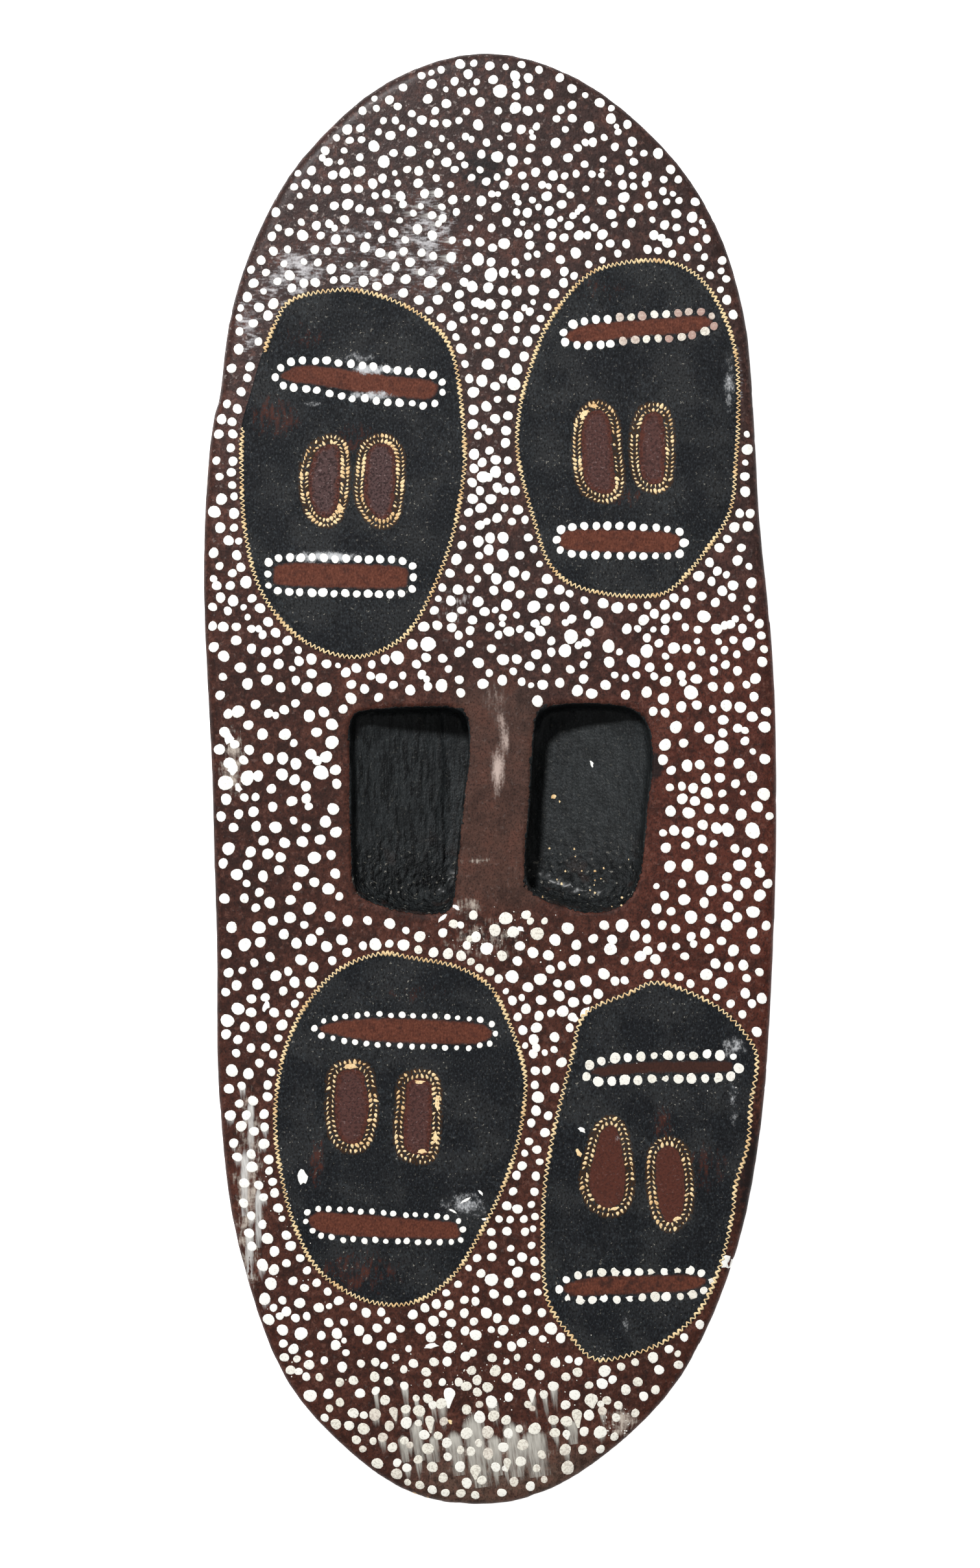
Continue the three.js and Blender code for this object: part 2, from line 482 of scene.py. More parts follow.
@cache
def brown_paint():
    """Earth paint over the wood, tar in the hollows, chalk, soot, bare worn wood and painted
    highlights.
    """
    settings = bpy.context.scene.shield_wood
    material, graph = new_material("brown_paint")
    place = graph.place()
    x, y, _ = graph.split(place)
    broad = graph.noise(place, 95, 3)
    blotch = graph.noise(place, 17, 3, shift=7)
    mottle = graph.noise(place, 3.2, 3, (1, 1.15, 1), shift=29)
    fine = graph.noise(place, 1.1, 3, (1, 1.4, 1))
    specks = graph.noise(place, 2.6, 5, shift=3)

    lower = (y + (broad - 0.5) * 0.35 + x * 0.5).ramp(0.24, -0.06)
    at_waist = (y + 0.03).size().ramp(0.2, 0.08)
    grip = (x - 0.005).size().ramp(0.034, 0.022) * (y + 0.012).size().ramp(0.085, 0.06)
    rubbed = 1 - grip * 0.6
    dusty = y.ramp(-0.42, -0.455) * (x - 0.02).size().ramp(0.1, 0.04)
    # Where the upper left shows sheen: lower roughness and some coat there, and a painted highlight
    # in the colour.
    upper = y.ramp(0.05, 0.32) * x.ramp(0.12, -0.08)
    soot = (graph.attribute("soot") + (mottle - 0.5) * 0.9).ramp(0.3, 0.75)
    paint = graph.layers(
        graph.mix(lower, tuple(settings.brown), tuple(settings.red_brown)),
        (at_waist * x.ramp(0.05, 0.13) * 0.75, (88, 42, 31)),
        (at_waist * x.ramp(-0.08, -0.14) * 0.5, (46, 27, 23)),
        (grip * 0.4, (82, 66, 58)),
        (dusty * 0.5, (104, 88, 76)),
        (blotch.ramp(0.48, 0.7) * 0.5, (38, 24, 20)),
        (blotch.ramp(0.5, 0.25) * 0.35, (104, 62, 50)),
        (mottle.ramp(0.48, 0.66) * rubbed * 0.5, (30, 18, 15)),
        (mottle.ramp(0.46, 0.3) * rubbed * 0.35, (116, 78, 67)),
        (fine.ramp(0.48, 0.66) * 0.6, (26, 16, 14)),
        # Light flecks, a few all over and many at the upper left, where they are painted highlights
        # of sheen on the grain.
        (specks.ramp(0.6, 0.7) * (0.08 + upper * 0.4), (168, 154, 148)),
        (soot * 0.9, (24, 20, 20)),
    )

    sideways = graph.noise(place, 1.6, 3, (3, 1, 1), shift=11)
    downwards = graph.noise(place, 1.6, 3, (1, 5, 1), shift=13)
    streak = sideways * y.ramp(0.1, 0.2) + downwards * y.ramp(0.2, 0.1)
    cloud = graph.noise(place, 7, 4, (1.6, 1, 1), shift=37)
    uneven = (streak - 0.5) * 1.5 + (cloud - 0.5) * 1.9 + (fine - 0.5) * 0.7
    chalk = graph.patchy("chalk", uneven, 0.25, 1.15, edge=0.3)
    dust = graph.mix(y.ramp(0.0, 0.2), srgb(202, 190, 177), srgb(210, 208, 210))
    paint = graph.mix(chalk * 0.85, paint, dust)
    brushed = (fine - 0.5) * 0.8 + (downwards - 0.5) * 0.9
    scuff = graph.patchy("scuff", brushed, 0.12, 1.0, edge=0.3)
    paint = graph.mix(scuff * 0.9, paint, srgb(196, 176, 166))
    chipped = graph.noise(place, 3.5, 4, (1, 2, 1), shift=17)
    worn = (graph.attribute("wear") + (chipped - 0.5) * 1.6).ramp(0.55, 0.75)
    paint = graph.mix(worn, paint, tuple(settings.bare))

    ragged = (graph.noise(place, 2.6, 3, shift=19) - 0.5) * 1.2
    tarred = (graph.attribute("tar") + ragged).ramp(0.42, 0.58)
    furrows = graph.noise(place, 2.8, 5, (1, 5, 2), shift=23)
    left = x.ramp(0.02, 0.0)
    low = y.ramp(-0.03, -0.07)
    rough = furrows.ramp(0.47, 0.6) * (0.35 + left * 0.4) + mottle.ramp(0.46, 0.62) * low * 0.6
    tar = graph.layers(
        tuple(settings.tar),
        (rough, (7, 8, 9)),
        (fine.ramp(0.5, 0.66) * 0.5, (11, 12, 14)),
        # Lighter grey-blue flecks: painted highlights on the glossy tar.
        (fine.ramp(0.46, 0.32) * 0.35, (66, 70, 73)),
        (blotch.ramp(0.5, 0.36) * 0.5, (18, 20, 21)),
        # Pale glints, most of them low in the hollows: painted highlights on the tar.
        (specks.ramp(0.63, 0.7) * (0.12 + low * 0.5), (150, 146, 136)),
        (blotch.ramp(0.56, 0.66) * low * 0.4, (52, 34, 28)),
    )

    gloss = 0.6 - upper * 0.15 - tarred * 0.1 + (fine - 0.5) * 0.2 + chalk * 0.2
    tar_relief = furrows * (2 + left * 3) + fine * (1.5 + low * 2) + mottle * (2 + low * 14)
    relief = fine * 0.7 + specks * 0.5 + mottle * 0.8 + tarred * tar_relief + chalk * 0.6
    coat = tarred * 0.22 + upper * 0.05
    finish = graph.mix(tarred, paint, tar)
    graph.surface(finish, gloss, relief, bump=0.22, specular=0.14, coat=coat)
    return material


@cache
def head_paint():
    """Black paint with fine specks, red bars and brown eyes, read from attributes."""
    settings = bpy.context.scene.shield_heads
    material, graph = new_material("black_and_red_paint")
    place = graph.place()
    fine = graph.noise(place, 1.1, 3, (1, 1.5, 1))
    specks = graph.noise(place, 1.7, 4, shift=5)
    patches = graph.noise(place, 28, 3, shift=9)
    weave = graph.noise(place, 4.5, 3, shift=2)

    streaks = graph.noise(place, 2.6, 3, (1, 3, 1), shift=6)
    uneven = (streaks - 0.5) * 1.6 + (fine - 0.5) * 0.9
    rubbed = graph.patchy("rub", uneven, 0.25, 0.85, edge=0.25)
    black = graph.layers(
        tuple(settings.black),
        (patches.ramp(0.4, 0.65), (41, 42, 43)),
        (fine.ramp(0.5, 0.68) * 0.8, (8, 9, 11)),
        (fine.ramp(0.47, 0.3) * 0.5, (60, 66, 70)),
        (rubbed * 0.7, (84, 46, 36)),
        (specks.ramp(0.64, 0.72) * (0.25 + patches.ramp(0.42, 0.6) * 0.4), (150, 146, 136)),
    )

    edge = (weave - 0.5) * 0.0024 + (fine - 0.5) * 0.0012
    in_bar = (graph.attribute("bar") + edge * 1.5).ramp(-0.0013, 0.0009)
    through = (graph.attribute("faded") * 1.6 + (weave - 0.5) * 1.2).ramp(0.2, 0.7)
    red = graph.layers(
        tuple(settings.red),
        (weave.ramp(0.4, 0.7) * 0.45, (66, 36, 30)),
        (fine.ramp(0.5, 0.68) * 0.55, (56, 26, 20)),
        (fine.ramp(0.48, 0.3) * 0.4, (132, 78, 60)),
        (through * 0.75, (44, 32, 29)),
    )

    depth = graph.attribute("eye")
    in_eye = (depth + edge).ramp(-0.0004, 0.0004)
    middle = (depth + (weave - 0.5) * 0.006).ramp(0.001, 0.004)
    ring = (depth + edge).ramp(-0.0075, -0.006) * fine.ramp(0.35, 0.6)
    redness = graph.attribute("red")
    wrinkle = graph.noise(place, 1.5, 4, shift=21)
    eye = graph.layers(
        graph.mix(middle * (1 - redness), srgb(84, 46, 37), tuple(settings.eye)),
        (wrinkle.ramp(0.46, 0.6) * (0.75 - redness * 0.4), (34, 22, 22)),
        (specks.ramp(0.6, 0.7) * (0.5 - redness * 0.35), (150, 128, 126)),
    )

    paint = graph.layers(graph.mix(in_bar, black, red), (ring * 0.6, (70, 46, 24)))
    drift = (weave - 0.5) * 1.3 + (fine - 0.5) * 1.1
    hazy = graph.patchy("haze", drift, 0.25, 1.05, edge=0.25)
    paint = graph.layers(graph.mix(in_eye, paint, eye), (hazy * 0.85, (204, 206, 208)))
    gloss = 0.6 + (fine - 0.5) * 0.3
    relief = fine * 0.6 + specks * 0.6 + weave * 0.7
    graph.surface(paint, gloss, relief, bump=0.2, specular=0.1)
    return material


@cache
def cut_wood():
    """Pale splintered wood in the gouge cuts."""
    settings = bpy.context.scene.shield_lines
    material, graph = new_material("cut_wood")
    place = graph.place()
    splinter = graph.noise(place, 1.2, 3)
    patch = graph.noise(place, 14, 2, shift=4)
    shade = (splinter.ramp(0.45, 0.75) * 0.5 + patch.ramp(0.45, 0.65) * 0.45).least(1)
    paint = graph.mix(shade, tuple(settings.wood), tuple(settings.deep))
    chips = graph.noise(place, 1.6, 3, shift=15)
    paint = graph.mix(chips.ramp(0.6, 0.68) * 0.75, paint, srgb(92, 60, 30))
    graph.surface(paint, 0.75, splinter, bump=0.12, specular=0.2)
    return material


@cache
def white_paint():
    """Thick chalky white paint, thinner and creamier where `shade` is high."""
    settings = bpy.context.scene.shield_dots
    material, graph = new_material("white_paint")
    place = graph.place()
    shade = graph.attribute("shade")
    grains = graph.noise(place, 1.3, 3)
    paint = graph.mix(shade, tuple(settings.white), tuple(settings.cream))
    thin = (grains + shade * 0.14).ramp(0.6, 0.78)
    paint = graph.mix(thin * 0.5, paint, srgb(160, 148, 138))
    paint = graph.mix((shade - 1).ramp(0, 0.8) * 0.6, paint, srgb(150, 84, 72))
    graph.surface(paint, 0.7, grains, bump=0.15, specular=0.3)
    return material


@cache
def thin_white():
    """Thin runs and wipes of white paint, streaky, that fade along their length."""
    material, graph = new_material("thin_white_paint")
    place = graph.place()
    fade = graph.attribute("fade")
    x, y, _ = graph.split(place)
    leaning = graph.vector(x + y * RUN_SLOPE, y, 0)
    downwards = graph.noise(leaning, 1.2, 3, (1, 8, 1), shift=13)
    sideways = graph.noise(place, 1.2, 3, (7, 1, 1), shift=11)
    streak = sideways * y.ramp(0.1, 0.2) + downwards * y.ramp(0.2, 0.1)
    cover = (fade * 1.3 + (streak - 0.5) * 0.9).ramp(0.15, 1.1)
    paint = graph.mix(y.ramp(-0.36, -0.42), srgb(226, 224, 220), srgb(200, 196, 186))
    graph.surface(paint, 0.7, streak, bump=0.05, alpha=cover * 0.9, specular=0.2)
    return material


# Points along an outline: as a rule, and while it is being worked out.
LOOP_POINTS = 192
FINE_POINTS = 720


def evenly_spaced(loop, count):
    """The same closed line, with that many evenly spaced points."""
    line = np.vstack([loop, loop[:1]])
    steps = np.linalg.norm(np.diff(line, axis=0), axis=1)
    along = np.concatenate([[0], np.cumsum(steps)])
    places = np.linspace(0, along[-1], count, endpoint=False)
    return np.column_stack([np.interp(places, along, line[:, axis]) for axis in (0, 1)])


def oval_line(oval, count=LOOP_POINTS, grow=0.0):
    """An oval's outline in metres, anticlockwise from its right, grown by millimetres."""
    turn = np.linspace(0, 2 * np.pi, FINE_POINTS, endpoint=False)
    across, up = np.cos(turn), np.sin(turn)
    corner = 2 / np.where(up > 0, oval.upper, oval.lower)
    across = np.sign(across) * np.abs(across) ** corner
    up = np.sign(up) * np.abs(up) ** corner
    x = (oval.half_width + grow) * across * (1 + oval.taper * up)
    x += oval.lean * up + oval.bow * up**2
    y = (oval.half_height + grow) * up
    tilt = math.radians(oval.tilt)
    turned = np.column_stack(
        [x * math.cos(tilt) - y * math.sin(tilt), x * math.sin(tilt) + y * math.cos(tilt)]
    )
    return evenly_spaced((turned + (oval.x, oval.y)) * MM, count)


def smooth_line(points, count=LOOP_POINTS, grow=0.0):
    """A smooth closed curve through points, in metres, grown by millimetres."""
    knots = np.array(points) * MM
    before, after = np.roll(knots, 1, axis=0), np.roll(knots, -1, axis=0)
    beyond = np.roll(knots, -2, axis=0)
    share = np.linspace(0, 1, 24, endpoint=False)[:, None, None]
    curve = (
        2 * knots
        + (after - before) * share
        + (2 * before - 5 * knots + 4 * after - beyond) * share**2
        + (3 * knots - before - 3 * after + beyond) * share**3
    ) / 2
    line = evenly_spaced(curve.transpose(1, 0, 2).reshape(-1, 2), FINE_POINTS)
    if grow:
        along = np.roll(line, -6, axis=0) - np.roll(line, 6, axis=0)
        outwards = np.column_stack([along[:, 1], -along[:, 0]])
        outwards /= np.linalg.norm(outwards, axis=1)[:, None]
        line = line + outwards * grow * MM
    return evenly_spaced(line, count)


def outline_of(shape, count=LOOP_POINTS, grow=0.0):
    """A line round an oval or round a shape given by points."""
    draw = oval_line if isinstance(shape, Oval) else smooth_line
    return draw(shape, count, grow)


def line_length(line, closed=True):
    ends = np.roll(line, -1, axis=0) if closed else line[1:]
    return np.linalg.norm(ends - line[: len(ends)], axis=1).sum()


# How many points are measured against a loop at once, to save memory.
POINTS_AT_ONCE = 4000


def depth_inside(points, loop):
    """How far each point lies inside a closed loop; negative outside it."""
    starts, ends = loop, np.roll(loop, -1, axis=0)
    edges = ends - starts
    depths = []
    for block in np.array_split(points, max(1, len(points) // POINTS_AT_ONCE)):
        offsets = block[:, None] - starts[None]
        share = (offsets * edges).sum(-1) / (edges**2).sum(-1)
        nearest = offsets - np.clip(share, 0, 1)[..., None] * edges
        distance = np.sqrt((nearest**2).sum(-1).min(1))
        px, py = block[:, None, 0], block[:, None, 1]
        crosses = (starts[None, :, 1] > py) != (ends[None, :, 1] > py)
        rise = np.where(edges[:, 1] == 0, 1e-12, edges[:, 1])
        at_x = starts[None, :, 0] + (py - starts[None, :, 1]) * edges[:, 0] / rise
        inside = (crosses & (px < at_x)).sum(1) % 2 == 1
        depths.append(np.where(inside, distance, -distance))
    return np.concatenate(depths)


def mesh_tree(mesh):
    mesh.calc_loop_triangles()
    corners = [tuple(triangle.vertices) for triangle in mesh.loop_triangles]
    return BVHTree.FromPolygons([v.co for v in mesh.vertices], corners)


@cache
def cad_tree():
    return mesh_tree(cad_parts[BOARD].data)


# How far the middle of the rim lies below the top of the grip face.
RIM_DROP = 12 * MM


@cache
def rim_line():
    """The board's outline, seen from above, anticlockwise."""
    tree = cad_tree()
    middle = Vector((0, 0, FACE_Z - RIM_DROP))
    line = []
    for angle in np.linspace(0, 2 * np.pi, 240, endpoint=False):
        outwards = Vector((math.cos(angle), math.sin(angle), 0))
        line.append(tree.ray_cast(middle + outwards, -outwards)[0][:2])
    return np.array(line)


# The uncut face beside the hollows, in metres: how far across it is measured, and the
# rows just past their upper and lower ends.
FACE_ACROSS = (-0.11, 0.12)
FACE_ROWS = (0.062, -0.1)


def face_height(across):
    """The height of the grip face before the hollows were cut, at each x."""
    at = np.linspace(*FACE_ACROSS, 24)
    casts = [
        [cad_tree().ray_cast(Vector((x, y, 2 * FACE_Z)), -UP)[0].z for y in FACE_ROWS]
        for x in at
    ]
    return np.interp(across, at, np.mean(casts, axis=1))


@cache
def board_tree():
    return mesh_tree(bpy.data.objects["shield_wood"].data)


def board_height(x, y):
    """The height of the finished wood under a point."""
    hit = board_tree().ray_cast(Vector((x, y, 2 * FACE_Z)), -UP)[0]
    return hit.z if hit else FACE_Z


def noise_at(points, millimetres, stretch=(1, 1, 1), shift=0.0, octaves=1):
    """Smooth noise from about -1 to 1 with lumps of that size, at each point."""
    scale = 1 / (np.array(stretch) * millimetres * MM)
    drift = Vector((shift, shift * 0.7, -shift))
    values = [
        noise.fractal(Vector(row) + drift, 1.0, 2.0, octaves) for row in (points * scale).tolist()
    ]
    return np.array(values)


def new_object(name, mesh):
    thing = bpy.data.objects.new(name, mesh)
    bpy.context.scene.collection.objects.link(thing)
    return thing


def new_mesh_object(name, vertices, faces):
    mesh = bpy.data.meshes.new(name)
    mesh.from_pydata([tuple(vertex) for vertex in vertices], [], faces)
    mesh.validate()
    return new_object(name, mesh)


def plain_mesh(thing):
    """The object's mesh with its modifiers applied, which are then removed."""
    graph = bpy.context.evaluated_depsgraph_get()
    mesh = bpy.data.meshes.new_from_object(
        thing.evaluated_get(graph), preserve_all_data_layers=True, depsgraph=graph
    )
    thing.modifiers.clear()
    thing.data = mesh
    return mesh


def drop(things):
    for thing in things:
        bpy.data.objects.remove(thing)


def store(mesh, name, values):
    layer = mesh.attributes.get(name) or mesh.attributes.new(name, "FLOAT", "POINT")
    layer.data.foreach_set("value", np.asarray(values, np.float32))


def read_points(mesh):
    points = np.empty(len(mesh.vertices) * 3)
    mesh.vertices.foreach_get("co", points)
    return points.reshape(-1, 3)


def declare(piece, slot, material=None, smooth=True):
    """Makes a piece ride on the board, with the material if one is given; the slot is not used."""
    if material is not None:
        piece.data.materials.clear()
        piece.data.materials.append(material)
    piece.data.polygons.foreach_set("use_smooth", [smooth] * len(piece.data.polygons))
    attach(piece, BODY)


def joined(name, things):
    """One plain object from several."""
    made = bmesh.new()
    for thing in things:
        made.from_mesh(thing.data)
    mesh = bpy.data.meshes.new(name)
    made.to_mesh(mesh)
    made.free()
    for material in things[0].data.materials:
        mesh.materials.append(material)
    drop(things)
    return new_object(name, mesh)


# Soft patches on the board, by what they are of: middle and half-sizes in millimetres,
# and strength.
PATCHES = {
    "chalk": (
        (-40, 352, 24, 38, 0.5), (-126, 334, 16, 11, 0.8), (-85, 331, 14, 9, 0.6),
        (-70, 340, 60, 40, 0.33), (-128, 318, 30, 26, 0.42), (-158, 298, 8, 26, 0.55),
        (85, -421, 12, 12, 0.6), (62, 317, 10, 9, 0.6), (0, -440, 60, 24, 0.35),
        (-158, -270, 9, 62, 0.75), (-2, -104, 34, 14, 0.45), (-168, 12, 8, 24, 0.7),
        (-22, 112, 14, 12, 0.45), (160, 258, 5, 22, 0.6), (-8, -53.5, 9, 1.6, 0.9),
        (-14, -84, 9, 5, 0.8),
    ),
    "scuff": (
        (7, 38, 2.6, 10, 0.6), (9.5, 25, 2.8, 10, 0.85), (5, 6, 3.8, 12, 1.1),
        (4, -9, 2, 6, 0.6), (18, -58, 2, 12, 0.3), (3, 52, 10, 14, 0.3),
    ),
    "soot": (
        (-5, 399, 22, 20, 0.72), (168, -250, 14, 60, 0.75), (-150, 60, 40, 30, 0.3),
        (30, 330, 60, 50, 0.3), (107, 8, 5, 8, 1.6), (2, -100, 36, 12, 0.5),
    ),
    "wear": (
        (-184, 200, 8, 34, 0.45), (187, 38, 8, 40, 0.45), (-48, -468, 20, 8, 0.6),
        (-20, 470, 70, 10, 0.35), (-186, 120, 6, 60, 0.3), (6, -470, 40, 8, 0.4),
    ),
    "haze": (
        (-76, 267, 16, 3, 1.1), (-86, 275, 18, 4, 0.45), (-78, 250, 16, 3, 0.95),
        (-116, 245, 7, 2, 0.5), (-107, 145, 22, 3.5, 1.1), (156, 258, 4, 18, 0.6),
        (-17, -278, 14, 9, 0.6), (159, -175, 8, 7, 0.65), (159, -212, 4, 16, 0.42),
        (89, -357, 4, 8, 0.4), (85, -235, 5, 8, 0.3),
    ),
    "rub": (
        (-113, -249, 5, 16, 0.7), (-86, -322, 30, 16, 0.5), (-140, 236, 16, 14, 0.6),
        (-88, 222, 16, 14, 0.4), (-120, 290, 26, 16, 0.25), (88, 184, 12, 7, 0.5),
        (112, -226, 8, 14, 0.5), (140, -255, 18, 20, 0.35), (-50, -140, 50, 14, 0.2),
        (70, 320, 40, 12, 0.25),
    ),
}


def patches_at(points, name):
    """The strength at each point of the strongest patch of that name."""
    strongest = np.zeros(len(points))
    for x, y, half_width, half_height, strength in PATCHES[name]:
        across = (points[:, 0] / MM - x) / half_width
        up = (points[:, 1] / MM - y) / half_height
        strongest = np.maximum(strongest, strength * np.exp(-(across**2) - up**2))
    return strongest


def smoothed(points, edges, rounds):
    """The points after rounds of moving each one half way to its neighbours' middle."""
    counts = np.bincount(edges.ravel(), minlength=len(points))[:, None]
    for _ in range(rounds):
        total = np.zeros_like(points)
        np.add.at(total, edges[:, 0], points[edges[:, 1]])
        np.add.at(total, edges[:, 1], points[edges[:, 0]])
        points = (points + total / np.maximum(counts, 1)) / 2
    return points


# A box round both hollows.
HOLLOW_LOW = Vector((-95 * MM, -92 * MM, 13 * MM))
HOLLOW_HIGH = Vector((110 * MM, 52 * MM, 50.5 * MM))


def in_hollows(points, margin=0.0):
    low = np.array(HOLLOW_LOW) - margin
    high = np.array(HOLLOW_HIGH) + margin
    return ((points > low) & (points < high)).all(axis=1)


def remade_board(settings):
    """A copy of the board with small even faces, finer inside the hollows."""
    piece = new_object("shield_wood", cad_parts[BOARD].data.copy())
    piece.data.materials.clear()
    made = bmesh.new()
    made.from_mesh(piece.data)
    bmesh.ops.remove_doubles(made, verts=made.verts, dist=0.01 * MM)
    made.to_mesh(piece.data)
    made.free()
    remesh = piece.modifiers.new("even faces", "REMESH")
    remesh.mode = "VOXEL"
    remesh.voxel_size = settings.cell
    plain_mesh(piece)

    made = bmesh.new()
    made.from_mesh(piece.data)
    points = np.array([vertex.co for vertex in made.verts])
    inside = in_hollows(points)
    finer = [edge for edge in made.edges if all(inside[vertex.index] for vertex in edge.verts)]
    bmesh.ops.subdivide_edges(made, edges=finer, cuts=1, use_grid_fill=True)
    bmesh.ops.triangulate(made, faces=[face for face in made.faces if len(face.verts) > 4])
    made.to_mesh(piece.data)
    made.free()
    return piece


# How large each kind of mark or lump on the carved board is, in millimetres.
SWELL_SIZE = 70
GRAIN_SIZE = 7
CUT_SIZE = 19
FURROW_SIZE = 3.6
LUMP_SIZE = 3.4
NICK_SIZE = 16
# How deep a nick in the rim may be, in metres.
NICK_DEPTH = 4 * MM
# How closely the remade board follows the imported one: at the brims of the hollows, lower
# down in them, and elsewhere.
FOLLOW_BRIM = 1.0
FOLLOW_FLOOR = 0.3
FOLLOW_REST = 0.6
# The adze cuts fade out below this height, so that the board lies flat.
CUTS_FADE = 6 * MM
# The depth of the furrows in the right hollow, as a share of the left one's.
RIGHT_FURROWS = 0.55


def carve_board(piece, settings):
    """Adds the marks of the tools, and the attributes that its paint reads."""
    mesh = piece.data
    edges = np.empty(len(mesh.edges) * 2, np.int32)
    mesh.edges.foreach_get("vertices", edges)
    points = smoothed(read_points(mesh), edges.reshape(-1, 2), settings.smoothing)
    nearest = np.array([cad_tree().find_nearest(Vector(point))[0] for point in points])
    brim = nearest[:, 2] > 0.7 * FACE_Z
    followed = np.where(brim, FOLLOW_BRIM, FOLLOW_FLOOR)
    followed = np.where(in_hollows(points, 3 * MM), followed, FOLLOW_REST)
    points += (nearest - points) * followed[:, None]
    depth = (face_height(points[:, 0]) - nearest[:, 2]) / MM
    mesh.vertices.foreach_set("co", points.ravel())
    mesh.update()
    normals = np.empty(len(points) * 3)
    mesh.vertices.foreach_get("normal", normals)
    normals = normals.reshape(-1, 3)
    shift = float(settings.seed)

    inside = in_hollows(points) & (points[:, 2] < HOLLOW_HIGH.z)
    outer = np.clip(-normals[:, 2] - 0.3, 0, 1) * np.clip(points[:, 2] / CUTS_FADE, 0, 1)
    out = settings.swell * noise_at(points, SWELL_SIZE, shift=shift) * ~inside
    out += settings.grain * noise_at(points, GRAIN_SIZE, (1, 2, 1), shift + 5, 2)
    cuts = np.abs(noise_at(points, CUT_SIZE, (1, 2, 1), shift + 9))
    out -= settings.scallop * (1 - 2 * cuts) * outer

    bent = points + [3 * MM, 0, 0] * noise_at(points, 30, shift=shift + 11)[:, None]
    furrows = 1 - 2 * np.abs(noise_at(bent, FURROW_SIZE, (1, 6, 1.5), shift + 2))
    strength = np.where(points[:, 0] < 0, 1.0, RIGHT_FURROWS)
    low = np.clip((-40 * MM - points[:, 1]) / (35 * MM), 0, 1)
    lumps = noise_at(points, LUMP_SIZE, (1, 1, 1), shift + 4, 3)
    out += inside * (settings.furrow * furrows * strength * (1 - 0.6 * low))
    out += inside * settings.lump * lumps * (0.15 + low)

    rim = np.clip((0.6 - np.abs(normals[:, 2])) / 0.6, 0, 1) * ~inside
    nicks = np.clip(noise_at(points, NICK_SIZE, shift=shift + 6, octaves=3) - 0.45, 0, 1)
    out -= rim * nicks * NICK_DEPTH
    points += normals * out[:, None]
    points = np.maximum(points, np.array(BOARD_LOW))
    mesh.vertices.foreach_set("co", points.ravel())
    mesh.update()

    edge_wear = rim * (0.28 + 0.15 * noise_at(points, 40, shift=shift))
    store(mesh, "chalk", patches_at(points, "chalk") * (points[:, 2] > 0.6 * FACE_Z))
    store(mesh, "scuff", patches_at(points, "scuff") * (depth < 1))
    store(mesh, "soot", patches_at(points, "soot"))
    tarred = in_hollows(points, 3 * MM) & (points[:, 2] > 11 * MM)
    store(mesh, "tar", np.clip(depth / 1.2, 0, 1) * tarred)
    store(mesh, "wear", np.maximum(edge_wear, patches_at(points, "wear") * (rim > 0.02)))


class SHIELD_OT_wood(bpy.types.Operator):
    """Carve the board: adze marks outside, furrows in the hollows, worn rim"""

    bl_idname = "shield.wood"
    bl_label = "Carve the wood"

    def execute(self, context):
        settings = context.scene.shield_wood
        piece = remade_board(settings)
        carve_board(piece, settings)
        declare(piece, "painted_wood", brown_paint())
        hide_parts(BOARD)
        return {"FINISHED"}


# How far a film's side reaches down into the wood at its edge, and its floor in its middle.
FILM_SIDE = 1.2 * MM
FILM_FLOOR = 2.5 * MM


def head_film(name, head, settings, rings=54, spokes=256):
    """One head's coat of black paint, laid over the wood out to just past its line."""
    line = outline_of(head.outline, spokes, grow=settings.spread / MM)
    middle = line.mean(axis=0)
    plan = [middle]
    for ring in range(1, rings + 1):
        plan.extend(middle + (line - middle) * ring / rings)
    plan = np.array(plan)
    heights = np.array([board_height(x, y) for x, y in plan])
    heights += settings.thickness
    heights[-spokes:] -= 0.5 * settings.thickness
    vertices = [(x, y, z) for (x, y), z in zip(plan, heights)]
    base = len(vertices)
    vertices += [(x, y, z - FILM_SIDE) for x, y, z in vertices[-spokes:]]
    vertices.append((*middle, vertices[0][2] - FILM_FLOOR))

    faces = []
    for j in range(spokes):
        k = (j + 1) % spokes
        faces.append((0, 1 + j, 1 + k))
        for ring in range(rings - 1):
            low = 1 + ring * spokes
            high = low + spokes
            faces.append((low + j, high + j, high + k, low + k))
        edge = base - spokes
        faces.append((edge + j, base + j, base + k, edge + k))
        faces.append((base + spokes, base + k, base + j))
    film = new_mesh_object(name, vertices, faces)

    flat = np.array(vertices)[:, :2]
    bars = (head.brow, head.mouth)
    in_bars = [depth_inside(flat, outline_of(bar.outline, 120)) for bar in bars]
    in_eyes = [depth_inside(flat, outline_of(eye, 96)) for eye in head.eyes]
    store(film.data, "bar", np.maximum(*in_bars))
    store(film.data, "eye", np.maximum(*in_eyes))
    store(film.data, "haze", patches_at(flat, "haze"))
    store(film.data, "rub", patches_at(flat, "rub"))
    nearer_brow = in_bars[0] > in_bars[1]
    store(film.data, "faded", np.where(nearer_brow, head.brow.faded, head.mouth.faded))
    store(film.data, "red", np.full(len(flat), head.red))
    return film


class SHIELD_OT_heads(bpy.types.Operator):
    """Paint the four black heads with their red bars and brown eyes"""

    bl_idname = "shield.heads"
    bl_label = "Paint the heads"

    def execute(self, context):
        for name, head in HEADS.items():
            film = head_film(f"head_paint_{name}", head, context.scene.shield_heads)
            declare(film, "black_paint", head_paint())
        return {"FINISHED"}


